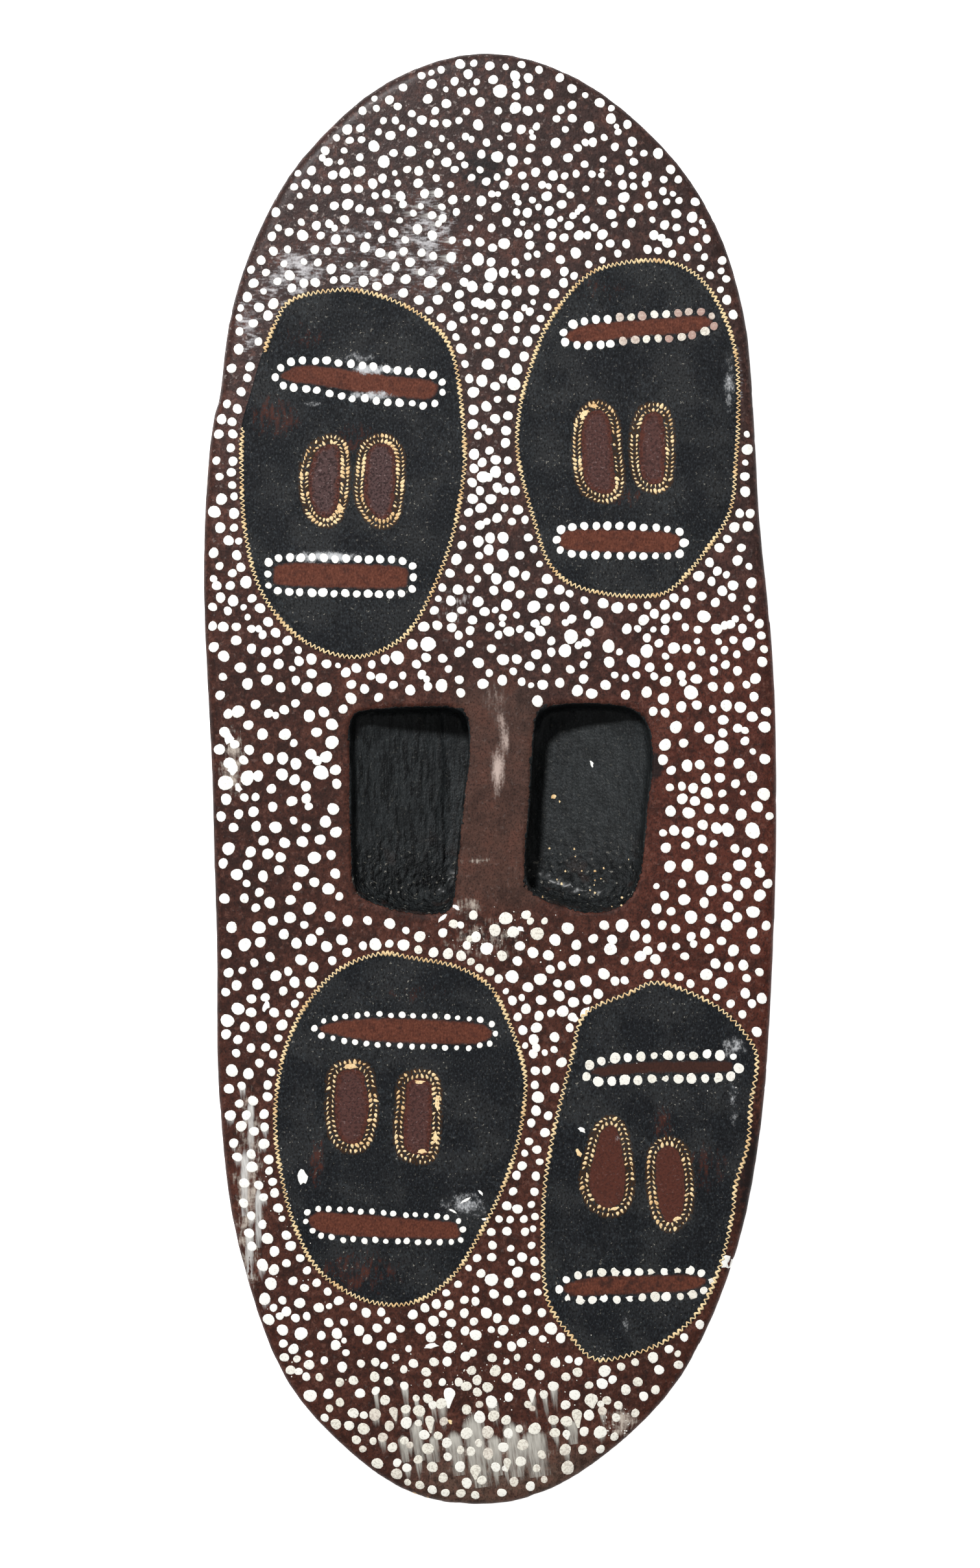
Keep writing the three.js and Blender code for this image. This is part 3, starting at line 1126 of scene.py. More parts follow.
def geometry_graph(name, inputs):
    """A new Geometry Nodes tree with named inputs, and its Group Input."""
    tree = bpy.data.node_groups.new(name, "GeometryNodeTree")
    tree.interface.new_socket("Geometry", in_out="INPUT", socket_type="NodeSocketGeometry")
    for label, kind in inputs.items():
        tree.interface.new_socket(label, in_out="INPUT", socket_type=f"NodeSocket{kind}")
    tree.interface.new_socket("Geometry", in_out="OUTPUT", socket_type="NodeSocketGeometry")
    graph = Graph(tree)
    return graph, graph.add("NodeGroupInput")


# How far below or above its ground a piece may be laid, for pieces that overhang the rim.
GROUND_SLACK = 3 * MM


def lay_and_finish(graph, given, geometry, ground=None):
    """Drops the geometry onto the wood, keeping its relief, and ends the tree.

    Past the rim it stays near the given height of the ground.
    """
    solid = graph.add("GeometryNodeRealizeInstances", inputs=(geometry,))
    x, y, z = graph.split(graph.add("GeometryNodeInputPosition"))
    wood = graph.add("GeometryNodeObjectInfo", inputs=(given["Wood"],))["Geometry"]
    inputs = {
        "Target Geometry": wood,
        "Source Position": graph.vector(x, y, 2 * FACE_Z),
        "Ray Direction": (0, 0, -1),
        "Ray Length": 4 * FACE_Z,
    }
    hit = graph.add("GeometryNodeRaycast", inputs=inputs)["Hit Position"]
    surface_z = graph.split(hit)[2]
    if ground is not None:
        surface_z = surface_z.most(ground - GROUND_SLACK).least(ground + GROUND_SLACK)
    laid = graph.add(
        "GeometryNodeSetPosition",
        inputs={"Geometry": solid, "Position": graph.vector(x, y, surface_z + z)},
    )
    ended = graph.add("GeometryNodeRealizeInstances", inputs=(laid,))
    finished = graph.add(
        "GeometryNodeSetMaterial", inputs={"Geometry": ended, "Material": given["Finish"]}
    )
    graph.add("NodeGroupOutput", inputs=(finished,))


def run_tree(name, graph, mesh, **values):
    """An object whose plain mesh is what the tree makes of a mesh."""
    piece = new_object(name, mesh)
    modifier = piece.modifiers.new(name, "NODES")
    modifier.node_group = graph.tree
    labels = {label.replace("_", " "): value for label, value in values.items()}
    for item in graph.tree.interface.items_tree:
        if item.in_out == "INPUT" and item.name in labels:
            modifier[item.identifier] = labels[item.name]
    plain_mesh(piece)
    return piece


POINTS_PER_ZIGZAG = 8


@cache
def gouged_line_tree():
    """A zigzag cut that follows a line, uneven and here and there run together."""
    inputs = {
        "Points": "Int",
        "Pitch": "Float",
        "Swing": "Float",
        "Stroke": "Float",
        "Height": "Float",
        "Bloom": "Float",
        "Seed": "Float",
        "Wood": "Object",
        "Finish": "Material",
    }
    graph, given = geometry_graph("gouged_line", inputs)
    curve = graph.add("GeometryNodeMeshToCurve", inputs=(given["Geometry"],))
    curve = graph.add(
        "GeometryNodeResampleCurve", {"mode": "COUNT"}, {"Curve": curve, "Count": given["Points"]}
    )
    place = graph.add("GeometryNodeInputPosition")
    seeded = graph.vector_maths("ADD", place, graph.vector(given["Seed"], 0, 0))
    along = graph.add("GeometryNodeSplineParameter")["Length"]
    hurry = (graph.noise(seeded, 9, 1) - 0.5) * 5
    swept = (along / given["Pitch"] * (2 * math.pi) + hurry).maths("SINE")
    zigzag = (swept * 0.96).maths("ARCSINE") * 0.7
    uneven = 0.5 + graph.noise(seeded, 4, 2, shift=3)
    tangent = graph.add("GeometryNodeInputTangent")
    sideways = graph.vector_maths("CROSS_PRODUCT", tangent, (0, 0, 1))
    reach = zigzag * given["Swing"] * uneven * 0.5
    offset = graph.add(
        "ShaderNodeVectorMath", {"operation": "SCALE"}, {"Vector": sideways, "Scale": reach}
    )
    curve = graph.add("GeometryNodeSetPosition", inputs={"Geometry": curve, "Offset": offset})
    curve = graph.add("GeometryNodeSetCurveNormal", {"mode": "Z_UP"}, {"Curve": curve})
    profile = graph.add(
        "GeometryNodeCurvePrimitiveQuadrilateral",
        inputs={"Width": given["Stroke"], "Height": given["Height"]},
    )
    run_together = graph.noise(seeded, 12, 2, shift=8).ramp(0.5, 0.62)
    thickness = 0.78 + graph.noise(seeded, 2.5, 1, shift=6) * 0.44 + run_together * given["Bloom"]
    strip = graph.add(
        "GeometryNodeCurveToMesh",
        inputs={"Curve": curve, "Profile Curve": profile, "Scale": thickness, "Fill Caps": True},
    )
    lay_and_finish(graph, given, strip)
    return graph


def line_mesh(name, line, closed=True):
    mesh = bpy.data.meshes.new(name)
    count = len(line)
    last = count if closed else count - 1
    edges = [(i, (i + 1) % count) for i in range(last)]
    mesh.from_pydata([(x, y, 0) for x, y in line], edges, [])
    return mesh


def head_line(head):
    """The line that rings a head: a closed loop, or an open one past its bare part."""
    line = outline_of(head.outline, 512)
    if head.bare is None:
        return line, True
    low, high = head.bare
    left = line[:, 0] < line[:, 0].mean()
    bare = left & (line[:, 1] > low * MM) & (line[:, 1] < high * MM)
    start = int(np.flatnonzero(bare)[-1]) + 1
    return np.roll(line, -start, axis=0)[: len(line) - int(bare.sum())], False


class SHIELD_OT_lines(bpy.types.Operator):
    """Gouge the zigzag line round each head, down to pale wood"""

    bl_idname = "shield.lines"
    bl_label = "Gouge the outlines"

    def execute(self, context):
        settings = context.scene.shield_lines
        for place, (name, head) in enumerate(HEADS.items()):
            line, closed = head_line(head)
            zigzags = round(line_length(line, closed) / (settings.pitch * head.zigzag))
            piece = run_tree(
                f"gouged_line_{name}",
                gouged_line_tree(),
                line_mesh(name, line, closed),
                Points=POINTS_PER_ZIGZAG * zigzags,
                Pitch=line_length(line, closed) / zigzags,
                Swing=settings.swing,
                Stroke=settings.stroke,
                Height=settings.height,
                Bloom=settings.bloom,
                Seed=float(settings.seed + place),
                Wood=bpy.data.objects["shield_wood"],
                Finish=cut_wood(),
            )
            declare(piece, "cut_wood")
        return {"FINISHED"}


def solid_from_plan(name, plan, top=0.45 * MM, bottom=-0.3 * MM, shoulder=0.8):
    """A thin lump with a bevelled edge over an outline given as (x, y)."""
    count = len(plan)
    rings = [(1, bottom), (1, 0.45 * top), (shoulder, top)]
    vertices = [(x * share, y * share, z) for share, z in rings for x, y in plan]
    vertices.append((0, 0, 1.1 * top))
    faces = [tuple(reversed(range(count)))]
    for j in range(count):
        k = (j + 1) % count
        for low in (0, count):
            faces.append((low + j, low + k, low + count + k, low + count + j))
        faces.append((2 * count + j, 2 * count + k, 3 * count))
    return new_mesh_object(name, vertices, faces)


# How many shapes there are of each sort. A dot's kind is the place of its shape in the
# list of shapes that it is painted from.
ROUND_SHAPES = 5
TAILED_SHAPES = 3
FLAKE_SHAPES = 4
DOT_SHAPES = ROUND_SHAPES + TAILED_SHAPES


def dot_shapes(height):
    """Lumpy round dots, then dots with a tail, one unit across."""
    draw = np.random.default_rng(4)
    shapes = []
    for kind in range(DOT_SHAPES):
        tailed = kind >= ROUND_SHAPES
        count = 14 if tailed else 12
        angles = np.linspace(0, 2 * np.pi, count, endpoint=False)
        lumps = 1 + 0.05 * np.sin(2 * angles + draw.uniform(0, 6))
        lumps += 0.035 * np.sin(3 * angles + draw.uniform(0, 6)) + draw.normal(0, 0.02, count)
        plan = np.column_stack([np.cos(angles), np.sin(angles)]) * lumps[:, None] / 2
        if tailed:
            tail = np.clip(-np.sin(angles), 0, 1) ** 6
            plan[:, 1] -= tail * (0.35 + 0.25 * (kind - ROUND_SHAPES))
            plan[:, 0] *= 1 - 0.3 * tail
        shapes.append(solid_from_plan(f"dot_{kind}", plan, height))
    return shapes


@cache
def painted_dots_tree():
    """One of a collection's shapes at each point, sized and turned by attributes."""
    inputs = {"Shapes": "Collection", "Wood": "Object", "Finish": "Material"}
    graph, given = geometry_graph("painted_dots", inputs)
    points = graph.add("GeometryNodeMeshToPoints", inputs=(given["Geometry"],))
    shapes = graph.add(
        "GeometryNodeCollectionInfo",
        inputs={
            "Collection": given["Shapes"],
            "Separate Children": True,
            "Reset Children": True,
        },
    )

    def named(name):
        return graph.add("GeometryNodeInputNamedAttribute", inputs=(name,))

    width = named("size")
    turn = graph.add("FunctionNodeEulerToRotation", inputs=(graph.vector(0, 0, named("turn")),))
    instances = graph.add(
        "GeometryNodeInstanceOnPoints",
        inputs={
            "Points": points,
            "Instance": shapes,
            "Pick Instance": True,
            "Instance Index": named("kind"),
            "Rotation": turn,
            "Scale": graph.vector(width, width * named("stretch"), 1),
        },
    )
    lay_and_finish(graph, given, instances, named("ground"))
    return graph


# A dot: its middle and width in millimetres, how much taller than wide it is, its turn in
# radians, the number of its shape, and how thin its paint is.
Dot = namedtuple("Dot", "x y size stretch turn kind shade", defaults=(1, 0, 0, 0))


def painted_dots(name, dots, shapes, material, slot):
    """A piece made of many dots, given in millimetres, from a few shapes."""
    group = bpy.data.collections.new(name)
    bpy.context.scene.collection.children.link(group)
    for shape in shapes:
        group.objects.link(shape)
    mesh = bpy.data.meshes.new(name)
    mesh.from_pydata([(dot.x * MM, dot.y * MM, 0) for dot in dots], [], [])
    store(mesh, "size", [dot.size * MM for dot in dots])
    store(mesh, "ground", [board_height(dot.x * MM, dot.y * MM) for dot in dots])
    for field in ("stretch", "turn", "kind", "shade"):
        store(mesh, field, [getattr(dot, field) for dot in dots])
    piece = run_tree(
        name,
        painted_dots_tree(),
        mesh,
        Shapes=group,
        Wood=bpy.data.objects["shield_wood"],
        Finish=material,
    )
    bpy.data.collections.remove(group)
    drop(shapes)
    declare(piece, slot, smooth=False)
    return piece


@cache
def gouge_marks_tree():
    """Slanted chips in a row along a closed line, here and there run together."""
    inputs = {
        "Count": "Int",
        "Slant": "Float",
        "Missing": "Float",
        "Seed": "Int",
        "Shape": "Object",
        "Wood": "Object",
        "Finish": "Material",
    }
    graph, given = geometry_graph("gouge_marks", inputs)
    curve = graph.add("GeometryNodeMeshToCurve", inputs=(given["Geometry"],))
    points = graph.add(
        "GeometryNodeCurveToPoints", {"mode": "COUNT"}, {"Curve": curve, "Count": given["Count"]}
    )

    def chance(low, high, salt):
        inputs = {"Min": low, "Max": high, "Seed": given["Seed"] + salt}
        return graph.add("FunctionNodeRandomValue", {"data_type": "FLOAT"}, inputs, "Value")

    along_x, along_y, _ = graph.split(points["Tangent"])
    outwards = graph.maths("ARCTAN2", along_y, along_x) - math.pi / 2
    angle = outwards - given["Slant"] * along_y + chance(-0.45, 0.45, 1)
    turn = graph.add("FunctionNodeEulerToRotation", inputs=(graph.vector(0, 0, angle),))
    place = graph.add("GeometryNodeInputPosition")
    seeded = graph.vector_maths("ADD", place, graph.vector(given["Seed"], 0, 0))
    merged = graph.noise(seeded, 11, 1).ramp(0.52, 0.6)
    instance = graph.add("GeometryNodeObjectInfo", inputs=(given["Shape"],))["Geometry"]
    instances = graph.add(
        "GeometryNodeInstanceOnPoints",
        inputs={
            "Points": points,
            "Selection": chance(0, 1, 2).maths("GREATER_THAN", given["Missing"]),
            "Instance": instance,
            "Rotation": turn,
            "Scale": graph.vector(
                chance(0.6, 1.15, 3) + merged * 0.4, chance(0.55, 1.3, 4) + merged * 0.8, 1
            ),
        },
    )
    lay_and_finish(graph, given, instances)
    return graph


class SHIELD_OT_eye_marks(bpy.types.Operator):
    """Chip two rows of slanted marks round each eye"""

    bl_idname = "shield.eye_marks"
    bl_label = "Chip the eye rings"

    def execute(self, context):
        settings = context.scene.shield_marks
        turns = np.linspace(0, 2 * np.pi, 8, endpoint=False)
        fat_end = 1 - 0.45 * np.cos(turns)
        leaf = np.column_stack([np.cos(turns), np.sin(turns) * fat_end]) / 2
        leaf = leaf * (settings.length, settings.width)
        shape = solid_from_plan("eye_mark", leaf, shoulder=0.6)
        rows = ((settings.inner, -settings.slant), (settings.outer, settings.slant))
        pieces = []
        for place, head in enumerate(HEADS.values()):
            for eye in head.eyes:
                for distance, slant in rows:
                    line = outline_of(eye, grow=distance / MM)
                    pieces.append(
                        run_tree(
                            f"marks_{len(pieces)}",
                            gouge_marks_tree(),
                            line_mesh("row", line),
                            Count=round(line_length(line) / (settings.step * head.spacing)),
                            Slant=slant * head.point,
                            Missing=settings.missing,
                            Seed=settings.seed + 10 * place + len(pieces),
                            Shape=shape,
                            Wood=bpy.data.objects["shield_wood"],
                            Finish=cut_wood(),
                        )
                    )
        drop([shape])
        declare(joined("eye_marks", pieces), "cut_wood")
        return {"FINISHED"}


# A bar that is more faded than this has uneven dots, and this share of them are ragged.
CRISP = 0.1
RAGGED_SHARE = 0.4
# The dots of the upper right brow are half lost past this x, in millimetres.
HALF_LOST_PAST = 84


class SHIELD_OT_bar_dots(bpy.types.Operator):
    """Ring the brow and mouth bars with white dots"""

    bl_idname = "shield.bar_dots"
    bl_label = "Dot the bars"

    def execute(self, context):
        settings = context.scene.shield_dots
        draw = np.random.default_rng(settings.seed)
        dots = []
        for name, head in HEADS.items():
            for bar in (head.brow, head.mouth):
                line = outline_of(bar.outline, 360, grow=bar.gap)
                count = round(line_length(line) / (bar.step * MM))
                fuzzy = bar.faded > CRISP
                for x, y in evenly_spaced(line, count) / MM:
                    x, y = draw.normal((x, y), 0.35)
                    width = bar.dot * draw.normal(1, 0.14 if fuzzy else 0.08)
                    shade = draw.uniform(0, 0.9) if fuzzy else 0.1
                    if bar is head.brow and name == "upper_right" and x > HALF_LOST_PAST:
                        shade = draw.uniform(0.7, 2)
                    if fuzzy and draw.random() < RAGGED_SHARE:
                        kind = draw.integers(DOT_SHAPES, DOT_SHAPES + FLAKE_SHAPES)
                    else:
                        kind = draw.integers(ROUND_SHAPES)
                    dots.append(Dot(x, y, width, 1, draw.uniform(0, 6.28), kind, shade))
        shapes = dot_shapes(settings.height) + flake_shapes(settings.height)
        painted_dots("bar_dots", dots, shapes, white_paint(), "white_paint")
        return {"FINISHED"}


@cache
def lower_rim():
    line = rim_line() / MM
    low = line[line[:, 1] < 0]
    return low[np.argsort(low[:, 0])].T


def lowest_at(x):
    """The height in the plan, in millimetres, of the rim's lower side at x."""
    return float(np.interp(x, *lower_rim()))


# The dots' mean width above each height, and the bare ground between them: above
# TOP_LINE, between the upper heads, beside the hollows and elsewhere. All in millimetres.
TOP_LINE = 330
DOT_WIDTHS = ((TOP_LINE, 5.8), (60, 6.4), (-120, 7.0), (-math.inf, 6.4))
TOP_GAP = 2.4
BETWEEN_HEADS_GAP = 1.8
WAIST_GAP = 2.5
OTHER_GAP = 2.0
# The share of the dots at the bottom end that have a tail, and the number of places tried.
TAILED_SHARE = 0.09
TRIES = 40000


class Field:
    """The ground that dots may cover, in millimetres, and the dots placed on it so far."""

    CELL = 12

    def __init__(self, settings):
        self.settings = settings
        self.draw = np.random.default_rng(settings.seed)
        self.dots = []
        self.grid = {}

    def room(self, points):
        """How wide a dot's radius may be at each point."""
        clearance = self.settings.clearance / MM
        places = np.asarray(points) * MM
        room = depth_inside(places, rim_line()) / MM - self.settings.margin / MM
        for head in HEADS.values():
            room = np.minimum(room, -depth_inside(places, outline_of(head.outline)) / MM - clearance)
        for oval in DOT_FREE:
            room = np.minimum(room, -depth_inside(places, oval_line(oval)) / MM - 0.5)
        return room

    def near(self, x, y):
        column, row = int(x // self.CELL), int(y // self.CELL)
        for i in (column - 1, column, column + 1):
            for j in (row - 1, row, row + 1):
                yield from self.grid.get((i, j), ())

    def fits(self, x, y, width, gap):
        return all(
            math.hypot(x - dot.x, y - dot.y) > (width + dot.size) / 2 + gap
            for dot in self.near(x, y)
        )

    def place(self, dot):
        self.dots.append(dot)
        self.grid.setdefault((int(dot.x // self.CELL), int(dot.y // self.CELL)), []).append(dot)

    def width_at(self, y):
        """A dot's width at a height, now and then a good deal more than the mean."""
        mean = next(width for low, width in DOT_WIDTHS if y > low)
        width = self.draw.normal(mean, 0.9) + 2 * (self.draw.random() < 0.04)
        return float(np.clip(width, 3.9, 10.5))

    def gap_at(self, x, y):
        """The bare ground left between dots there."""
        if y > TOP_LINE:
            gap = TOP_GAP
        elif -40 < x < 30 and y > 60:
            gap = BETWEEN_HEADS_GAP
        elif -130 < y < 60:
            gap = WAIST_GAP
        else:
            gap = OTHER_GAP
        return gap + self.draw.uniform(-1.6, 1.6)

    def ring_heads(self):
        """Rows of dots that hug the heads' outlines."""
        for head in HEADS.values():
            reach = self.settings.clearance / MM
            line = outline_of(head.outline, FINE_POINTS, grow=reach)
            outer = outline_of(head.outline, FINE_POINTS, grow=reach + 1)
            total = len(line)
            place = self.draw.uniform(0, 8)
            per_mm = total / (line_length(line) / MM)
            while place * per_mm < total - 6:
                index = int(place * per_mm)
                x, y = line[index] / MM
                width = 0.92 * self.width_at(y)
                outwards = (outer[index] - line[index]) / MM
                away = width / 2 + self.draw.uniform(0, 2.6)
                x, y = (x, y) + outwards / np.linalg.norm(outwards) * away
                if self.room([(x, y)])[0] > width / 2 and self.fits(x, y, width, 0.2):
                    self.place(self.dot(x, y, width))
                place += self.draw.normal(self.settings.row_step / MM, 1.6)

    def fill(self):
        """Dots wherever a random place has room for one."""
        low, high = np.array(BOARD_LOW[:2]) / MM, np.array(BOARD_HIGH[:2]) / MM
        places = self.draw.uniform(low, high, (TRIES, 2))
        room = self.room(places)
        places, room = places[room > 1.8], room[room > 1.8]
        for (x, y), space in zip(places, room):
            width = self.width_at(y)
            if space < width / 2 or not self.fits(x, y, width, self.gap_at(x, y)):
                continue
            self.place(self.dot(x, y, width))
            if self.draw.random() < self.settings.doubles:
                turn = self.draw.uniform(0, 2 * math.pi)
                smaller = 0.8 * width
                beside = (x + smaller * math.cos(turn), y + smaller * math.sin(turn))
                if self.room([beside])[0] > width / 2:
                    self.place(self.dot(*beside, smaller))

    def dot(self, x, y, width):
        """A dot that suits its place: tailed where the paint ran, thin where it was wet."""
        draw = self.draw
        at_bottom = y < -398 and abs(x) < 78
        kind = int(draw.integers(ROUND_SHAPES))
        turn = draw.uniform(0, 2 * math.pi)
        if at_bottom and y > lowest_at(x) + 16 and draw.random() < TAILED_SHARE:
            kind = int(draw.integers(ROUND_SHAPES, DOT_SHAPES))
            turn = draw.normal(0.12, 0.1)
        smudged = y < -375 or (-48 < x < 42 and -135 < y < -80)
        thin = draw.random() * (1.0 if smudged else 0.25) + 0.3 * (y < -405)
        return Dot(x, y, width, draw.normal(1, 0.05), turn, kind, thin)


@cache
def ground_field():
    field = Field(bpy.context.scene.shield_dots)
    field.ring_heads()
    field.fill()
    return field


class SHIELD_OT_ground_dots(bpy.types.Operator):
    """Cover the brown ground with white dots"""

    bl_idname = "shield.ground_dots"
    bl_label = "Dot the ground"

    def execute(self, context):
        settings = context.scene.shield_dots
        dots = ground_field().dots
        shapes = dot_shapes(settings.height)
        painted_dots("ground_dots", dots, shapes, white_paint(), "white_paint")
        return {"FINISHED"}


# The underside and the top of a run of paint, from the surface of the wood.
RUN_HEIGHTS = (-0.25 * MM, 0.16 * MM)


def run_shape(name, bend, taper=0.75, strength=1.0, fading=1.0):
    """A run of thin paint, one unit long downwards, widest at its upper end."""
    steps = 12
    low, high = RUN_HEIGHTS
    section = ((-1, low), (-1, high), (-0.5, high), (0.5, high), (1, high), (1, low))
    sides = len(section)
    vertices = []
    fades = []
    faces = []
    for step in range(steps + 1):
        down = step / steps
        half = 0.5 * min(1, 5 * down + 0.35) * (1 - taper * down**1.6)
        middle = bend * math.sin(3 * down)
        start = min(1, 0.25 + 5 * down)
        for share, z in section:
            vertices.append((middle + share * half, 0.1 - down, z))
            fades.append(strength * start * (1 - fading * down) * (1.2 - 0.9 * abs(share)))
    for step in range(steps):
        for side in range(sides):
            a = sides * step + side
            b = sides * step + (side + 1) % sides
            faces.append((a, b, b + sides, a + sides))
    faces.append(tuple(reversed(range(sides))))
    last = sides * steps
    faces.append(tuple(range(last, last + sides)))
    shape = new_mesh_object(name, vertices, faces)
    store(shape.data, "fade", fades)
    return shape


# Broad translucent runs at the bottom end and down the left edge: middle, top, width
# and length in millimetres.
Run = namedtuple("Run", "x top width length")
RUNS = (
    Run(-57, -430, 7, 18),
    Run(-48.6, -422, 9, 26),
    Run(-37, -430, 6, 18),
    Run(-23.4, -428, 10, 30),
    Run(-11.5, -418, 15, 50),
    Run(2, -430, 10, 28),
    Run(13, -422, 11, 38),
    Run(28.3, -427, 17, 32),
    Run(53, -420, 8, 16),
    Run(-156, -212, 5, 40),
    Run(-160, -246, 6, 44),
    Run(-151, -270, 5, 40),
    Run(-157, -296, 6, 36),
)


# The shapes of the runs: three that bend to either side or not at all, a broad one, and
# one for the wipes at the top end.
RUN_BENDS = (-0.06, 0, 0.06)
BROAD = 3
SIDEWAYS = 4
# The shortest run worth laying, in millimetres.
SHORTEST_RUN = 6


class SHIELD_OT_runs(bpy.types.Operator):
    """Let thin white paint run down from the dots at the ends of the shield"""

    bl_idname = "shield.runs"
    bl_label = "Run the thin paint"

    def execute(self, context):
        draw = np.random.default_rng(31)
        runs = []
        for dot in ground_field().dots:
            at_bottom = dot.y < -395 and abs(dot.x) < 76
            at_top = -68 < dot.x < -20 and 320 < dot.y < 385
            at_left = dot.x < -146 and -340 < dot.y < -200
            if not (at_bottom or at_top or at_left) or draw.random() > (0.75 if at_top else 0.5):
                continue
            length = draw.uniform(12, 30) if at_bottom else draw.uniform(8, 15)
            slope = RUN_SLOPE if at_bottom else 0
            if not at_top:
                length = min(length, dot.y - lowest_at(dot.x + slope * length) - 5)
            if length < SHORTEST_RUN:
                continue
            width = dot.size * draw.uniform(0.7, 1.1)
            turn = -math.pi / 2 if at_top else slope
            turn += draw.normal(0, 0.06)
            kind = SIDEWAYS if at_top else int(draw.integers(len(RUN_BENDS)))
            runs.append(Dot(dot.x, dot.y, width, length / width, turn, kind, 0))
        for run in RUNS:
            slope = RUN_SLOPE if run.top < -400 else 0
            length = min(run.length, run.top - lowest_at(run.x + slope * run.length) - 4)
            runs.append(Dot(run.x, run.top, run.width, length / run.width, slope, BROAD, 0))
        shapes = [run_shape(f"run_{kind}", bend) for kind, bend in enumerate(RUN_BENDS)]
        shapes.append(run_shape("run_3", 0, taper=0.1, strength=0.95, fading=0.45))
        shapes.append(run_shape("run_4", 0.05, taper=0.85, strength=0.85))
        painted_dots("paint_runs", runs, shapes, thin_white(), "white_paint")
        return {"FINISHED"}


def flake_shapes(height):
    """Ragged flakes, about one unit across."""
    draw = np.random.default_rng(9)
    shapes = []
    for kind in range(FLAKE_SHAPES):
        angles = np.linspace(0, 2 * np.pi, 11, endpoint=False)
        reach = draw.uniform(0.62, 1.15, len(angles)) / 2
        plan = np.column_stack([np.cos(angles), np.sin(angles)]) * reach[:, None]
        shapes.append(solid_from_plan(f"flake_{kind}", plan, height))
    return shapes


# Stray flakes of white paint, and of pale wood where the paint has chipped off.
WHITE_FLAKES = (
    Dot(-122, -260, 7, 1.75, 0.15, 0),
    Dot(60, -229, 7, 0.45, -0.5, 1),
    Dot(154.5, -316, 8, 1.2, 0.4, 2),
    Dot(67, 10, 2.4, 2.2, 0.2, 3),
    Dot(-6, -270, 6, 0.3, -0.8, 1),
    Dot(-16, -275, 8, 0.25, 0.5, 2),
    Dot(-24, -282, 6, 0.3, -0.5, 0),
    Dot(-3, -287, 7, 0.3, 0.2, 3),
    Dot(20, -98, 6, 0.5, -0.3, 1),
    Dot(-31, -91, 7, 0.4, 0.7, 2),
    Dot(-22, -84, 5, 0.6, -0.6, 0),
    Dot(-38, -370, 11, 0.3, 0.2, 1),
    Dot(-170, 26, 6, 1.4, 0.1, 0),
    Dot(-168, 6, 6, 1.5, -0.2, 2),
    Dot(-164, -6, 5, 1.2, 0.3, 1),
    Dot(-146, -148, 5, 1.8, -0.5, 3),
    Dot(62, -152, 8, 0.6, 0.9, 0),
    Dot(55, -157, 5, 0.8, 0.1, 2),
)
WOOD_FLAKES = (
    Dot(-97.5, 176, 4.6, 1.7, 0.2, 0),
    Dot(58, -244, 4, 1.6, 0.5, 1),
    Dot(42, -12, 3.4, 0.9, 0.3, 2),
    Dot(46, -15, 1.4, 1.3, 0, 3),
    Dot(-90.5, -187.6, 12, 0.32, 0.05, 1),
    Dot(-34.5, -212, 3, 4, 0.03, 2),
    Dot(-35.5, -234, 3, 3.4, 0.0, 0),
    Dot(-46, -197.6, 9, 0.34, 0.06, 3),
    Dot(61.5, 238, 8, 0.5, 0.75, 0),
    Dot(68, 243, 7, 0.42, 0.1, 1),
    Dot(-26, -419.5, 3, 1.3, 0.4, 3),
    Dot(81, -280.5, 6, 0.4, 0.2, 2),
    Dot(122, -287, 6, 0.5, 0.4, 0),
    Dot(-44, -243, 8, 0.4, 0.1, 1),
)
# Where tiny drops of white paint fell: middle and spread in millimetres, and how many.
SPLASHES = (
    ((0, -385), (45, 18), 110),
    ((84, -420), (9, 9), 45),
    ((108, -188), (30, 7), 16),
    ((0, -103), (26, 9), 40),
    ((-135, -300), (12, 40), 30),
)
# Where tiny chips of pale wood lie, low in the right hollow: two corners in millimetres.
CHIPS_LOW = (34, -84)
CHIPS_HIGH = (96, -46)
CHIPS = 20


class SHIELD_OT_flakes(bpy.types.Operator):
    """Scatter the stray flakes of white paint and the chips of pale wood"""

    bl_idname = "shield.flakes"
    bl_label = "Scatter the flakes"

    def execute(self, context):
        height = context.scene.shield_dots.height
        draw = np.random.default_rng(17)
        places = draw.uniform(CHIPS_LOW, CHIPS_HIGH, (CHIPS, 2))
        chips = []
        for x, y in places:
            width = draw.uniform(0.8, 1.9)
            chips.append(Dot(x, y, width, kind=int(draw.integers(FLAKE_SHAPES))))
        splashes = []
        for middle, spread, count in SPLASHES:
            for x, y in draw.normal(middle, spread, (count, 2)):
                if y > lowest_at(x) + 4:
                    width = draw.uniform(0.4, 1.1)
                    kind = int(draw.integers(FLAKE_SHAPES))
                    splashes.append(Dot(x, y, width, kind=kind, shade=draw.random()))
        for name, flakes, paint, slot in (
            ("paint_flakes", [*WHITE_FLAKES, *splashes], white_paint(), "white_paint"),
            ("wood_flakes", [*WOOD_FLAKES, *chips], cut_wood(), "cut_wood"),
        ):
            painted_dots(name, flakes, flake_shapes(height), paint, slot)
        return {"FINISHED"}


# The floor's half width and height, and the key light's width, distance and direction
# from the shield, in metres.
FLOOR_REACH = 6
FLOOR_Z = -0.001
KEY_SIZE = 0.8
KEY_DISTANCE = 6
KEY_DIRECTION = Vector((-0.28, 0.58, 1))
# The camera's sensor in millimetres; then how far it sees, how far it stands below the
# middle of the plan, and how deep in the wood its distance is measured from, in metres.
SENSOR = 36
VIEW_LIMIT = 20
CAMERA_Y = -0.0034
AIM_DEPTH = 0.01


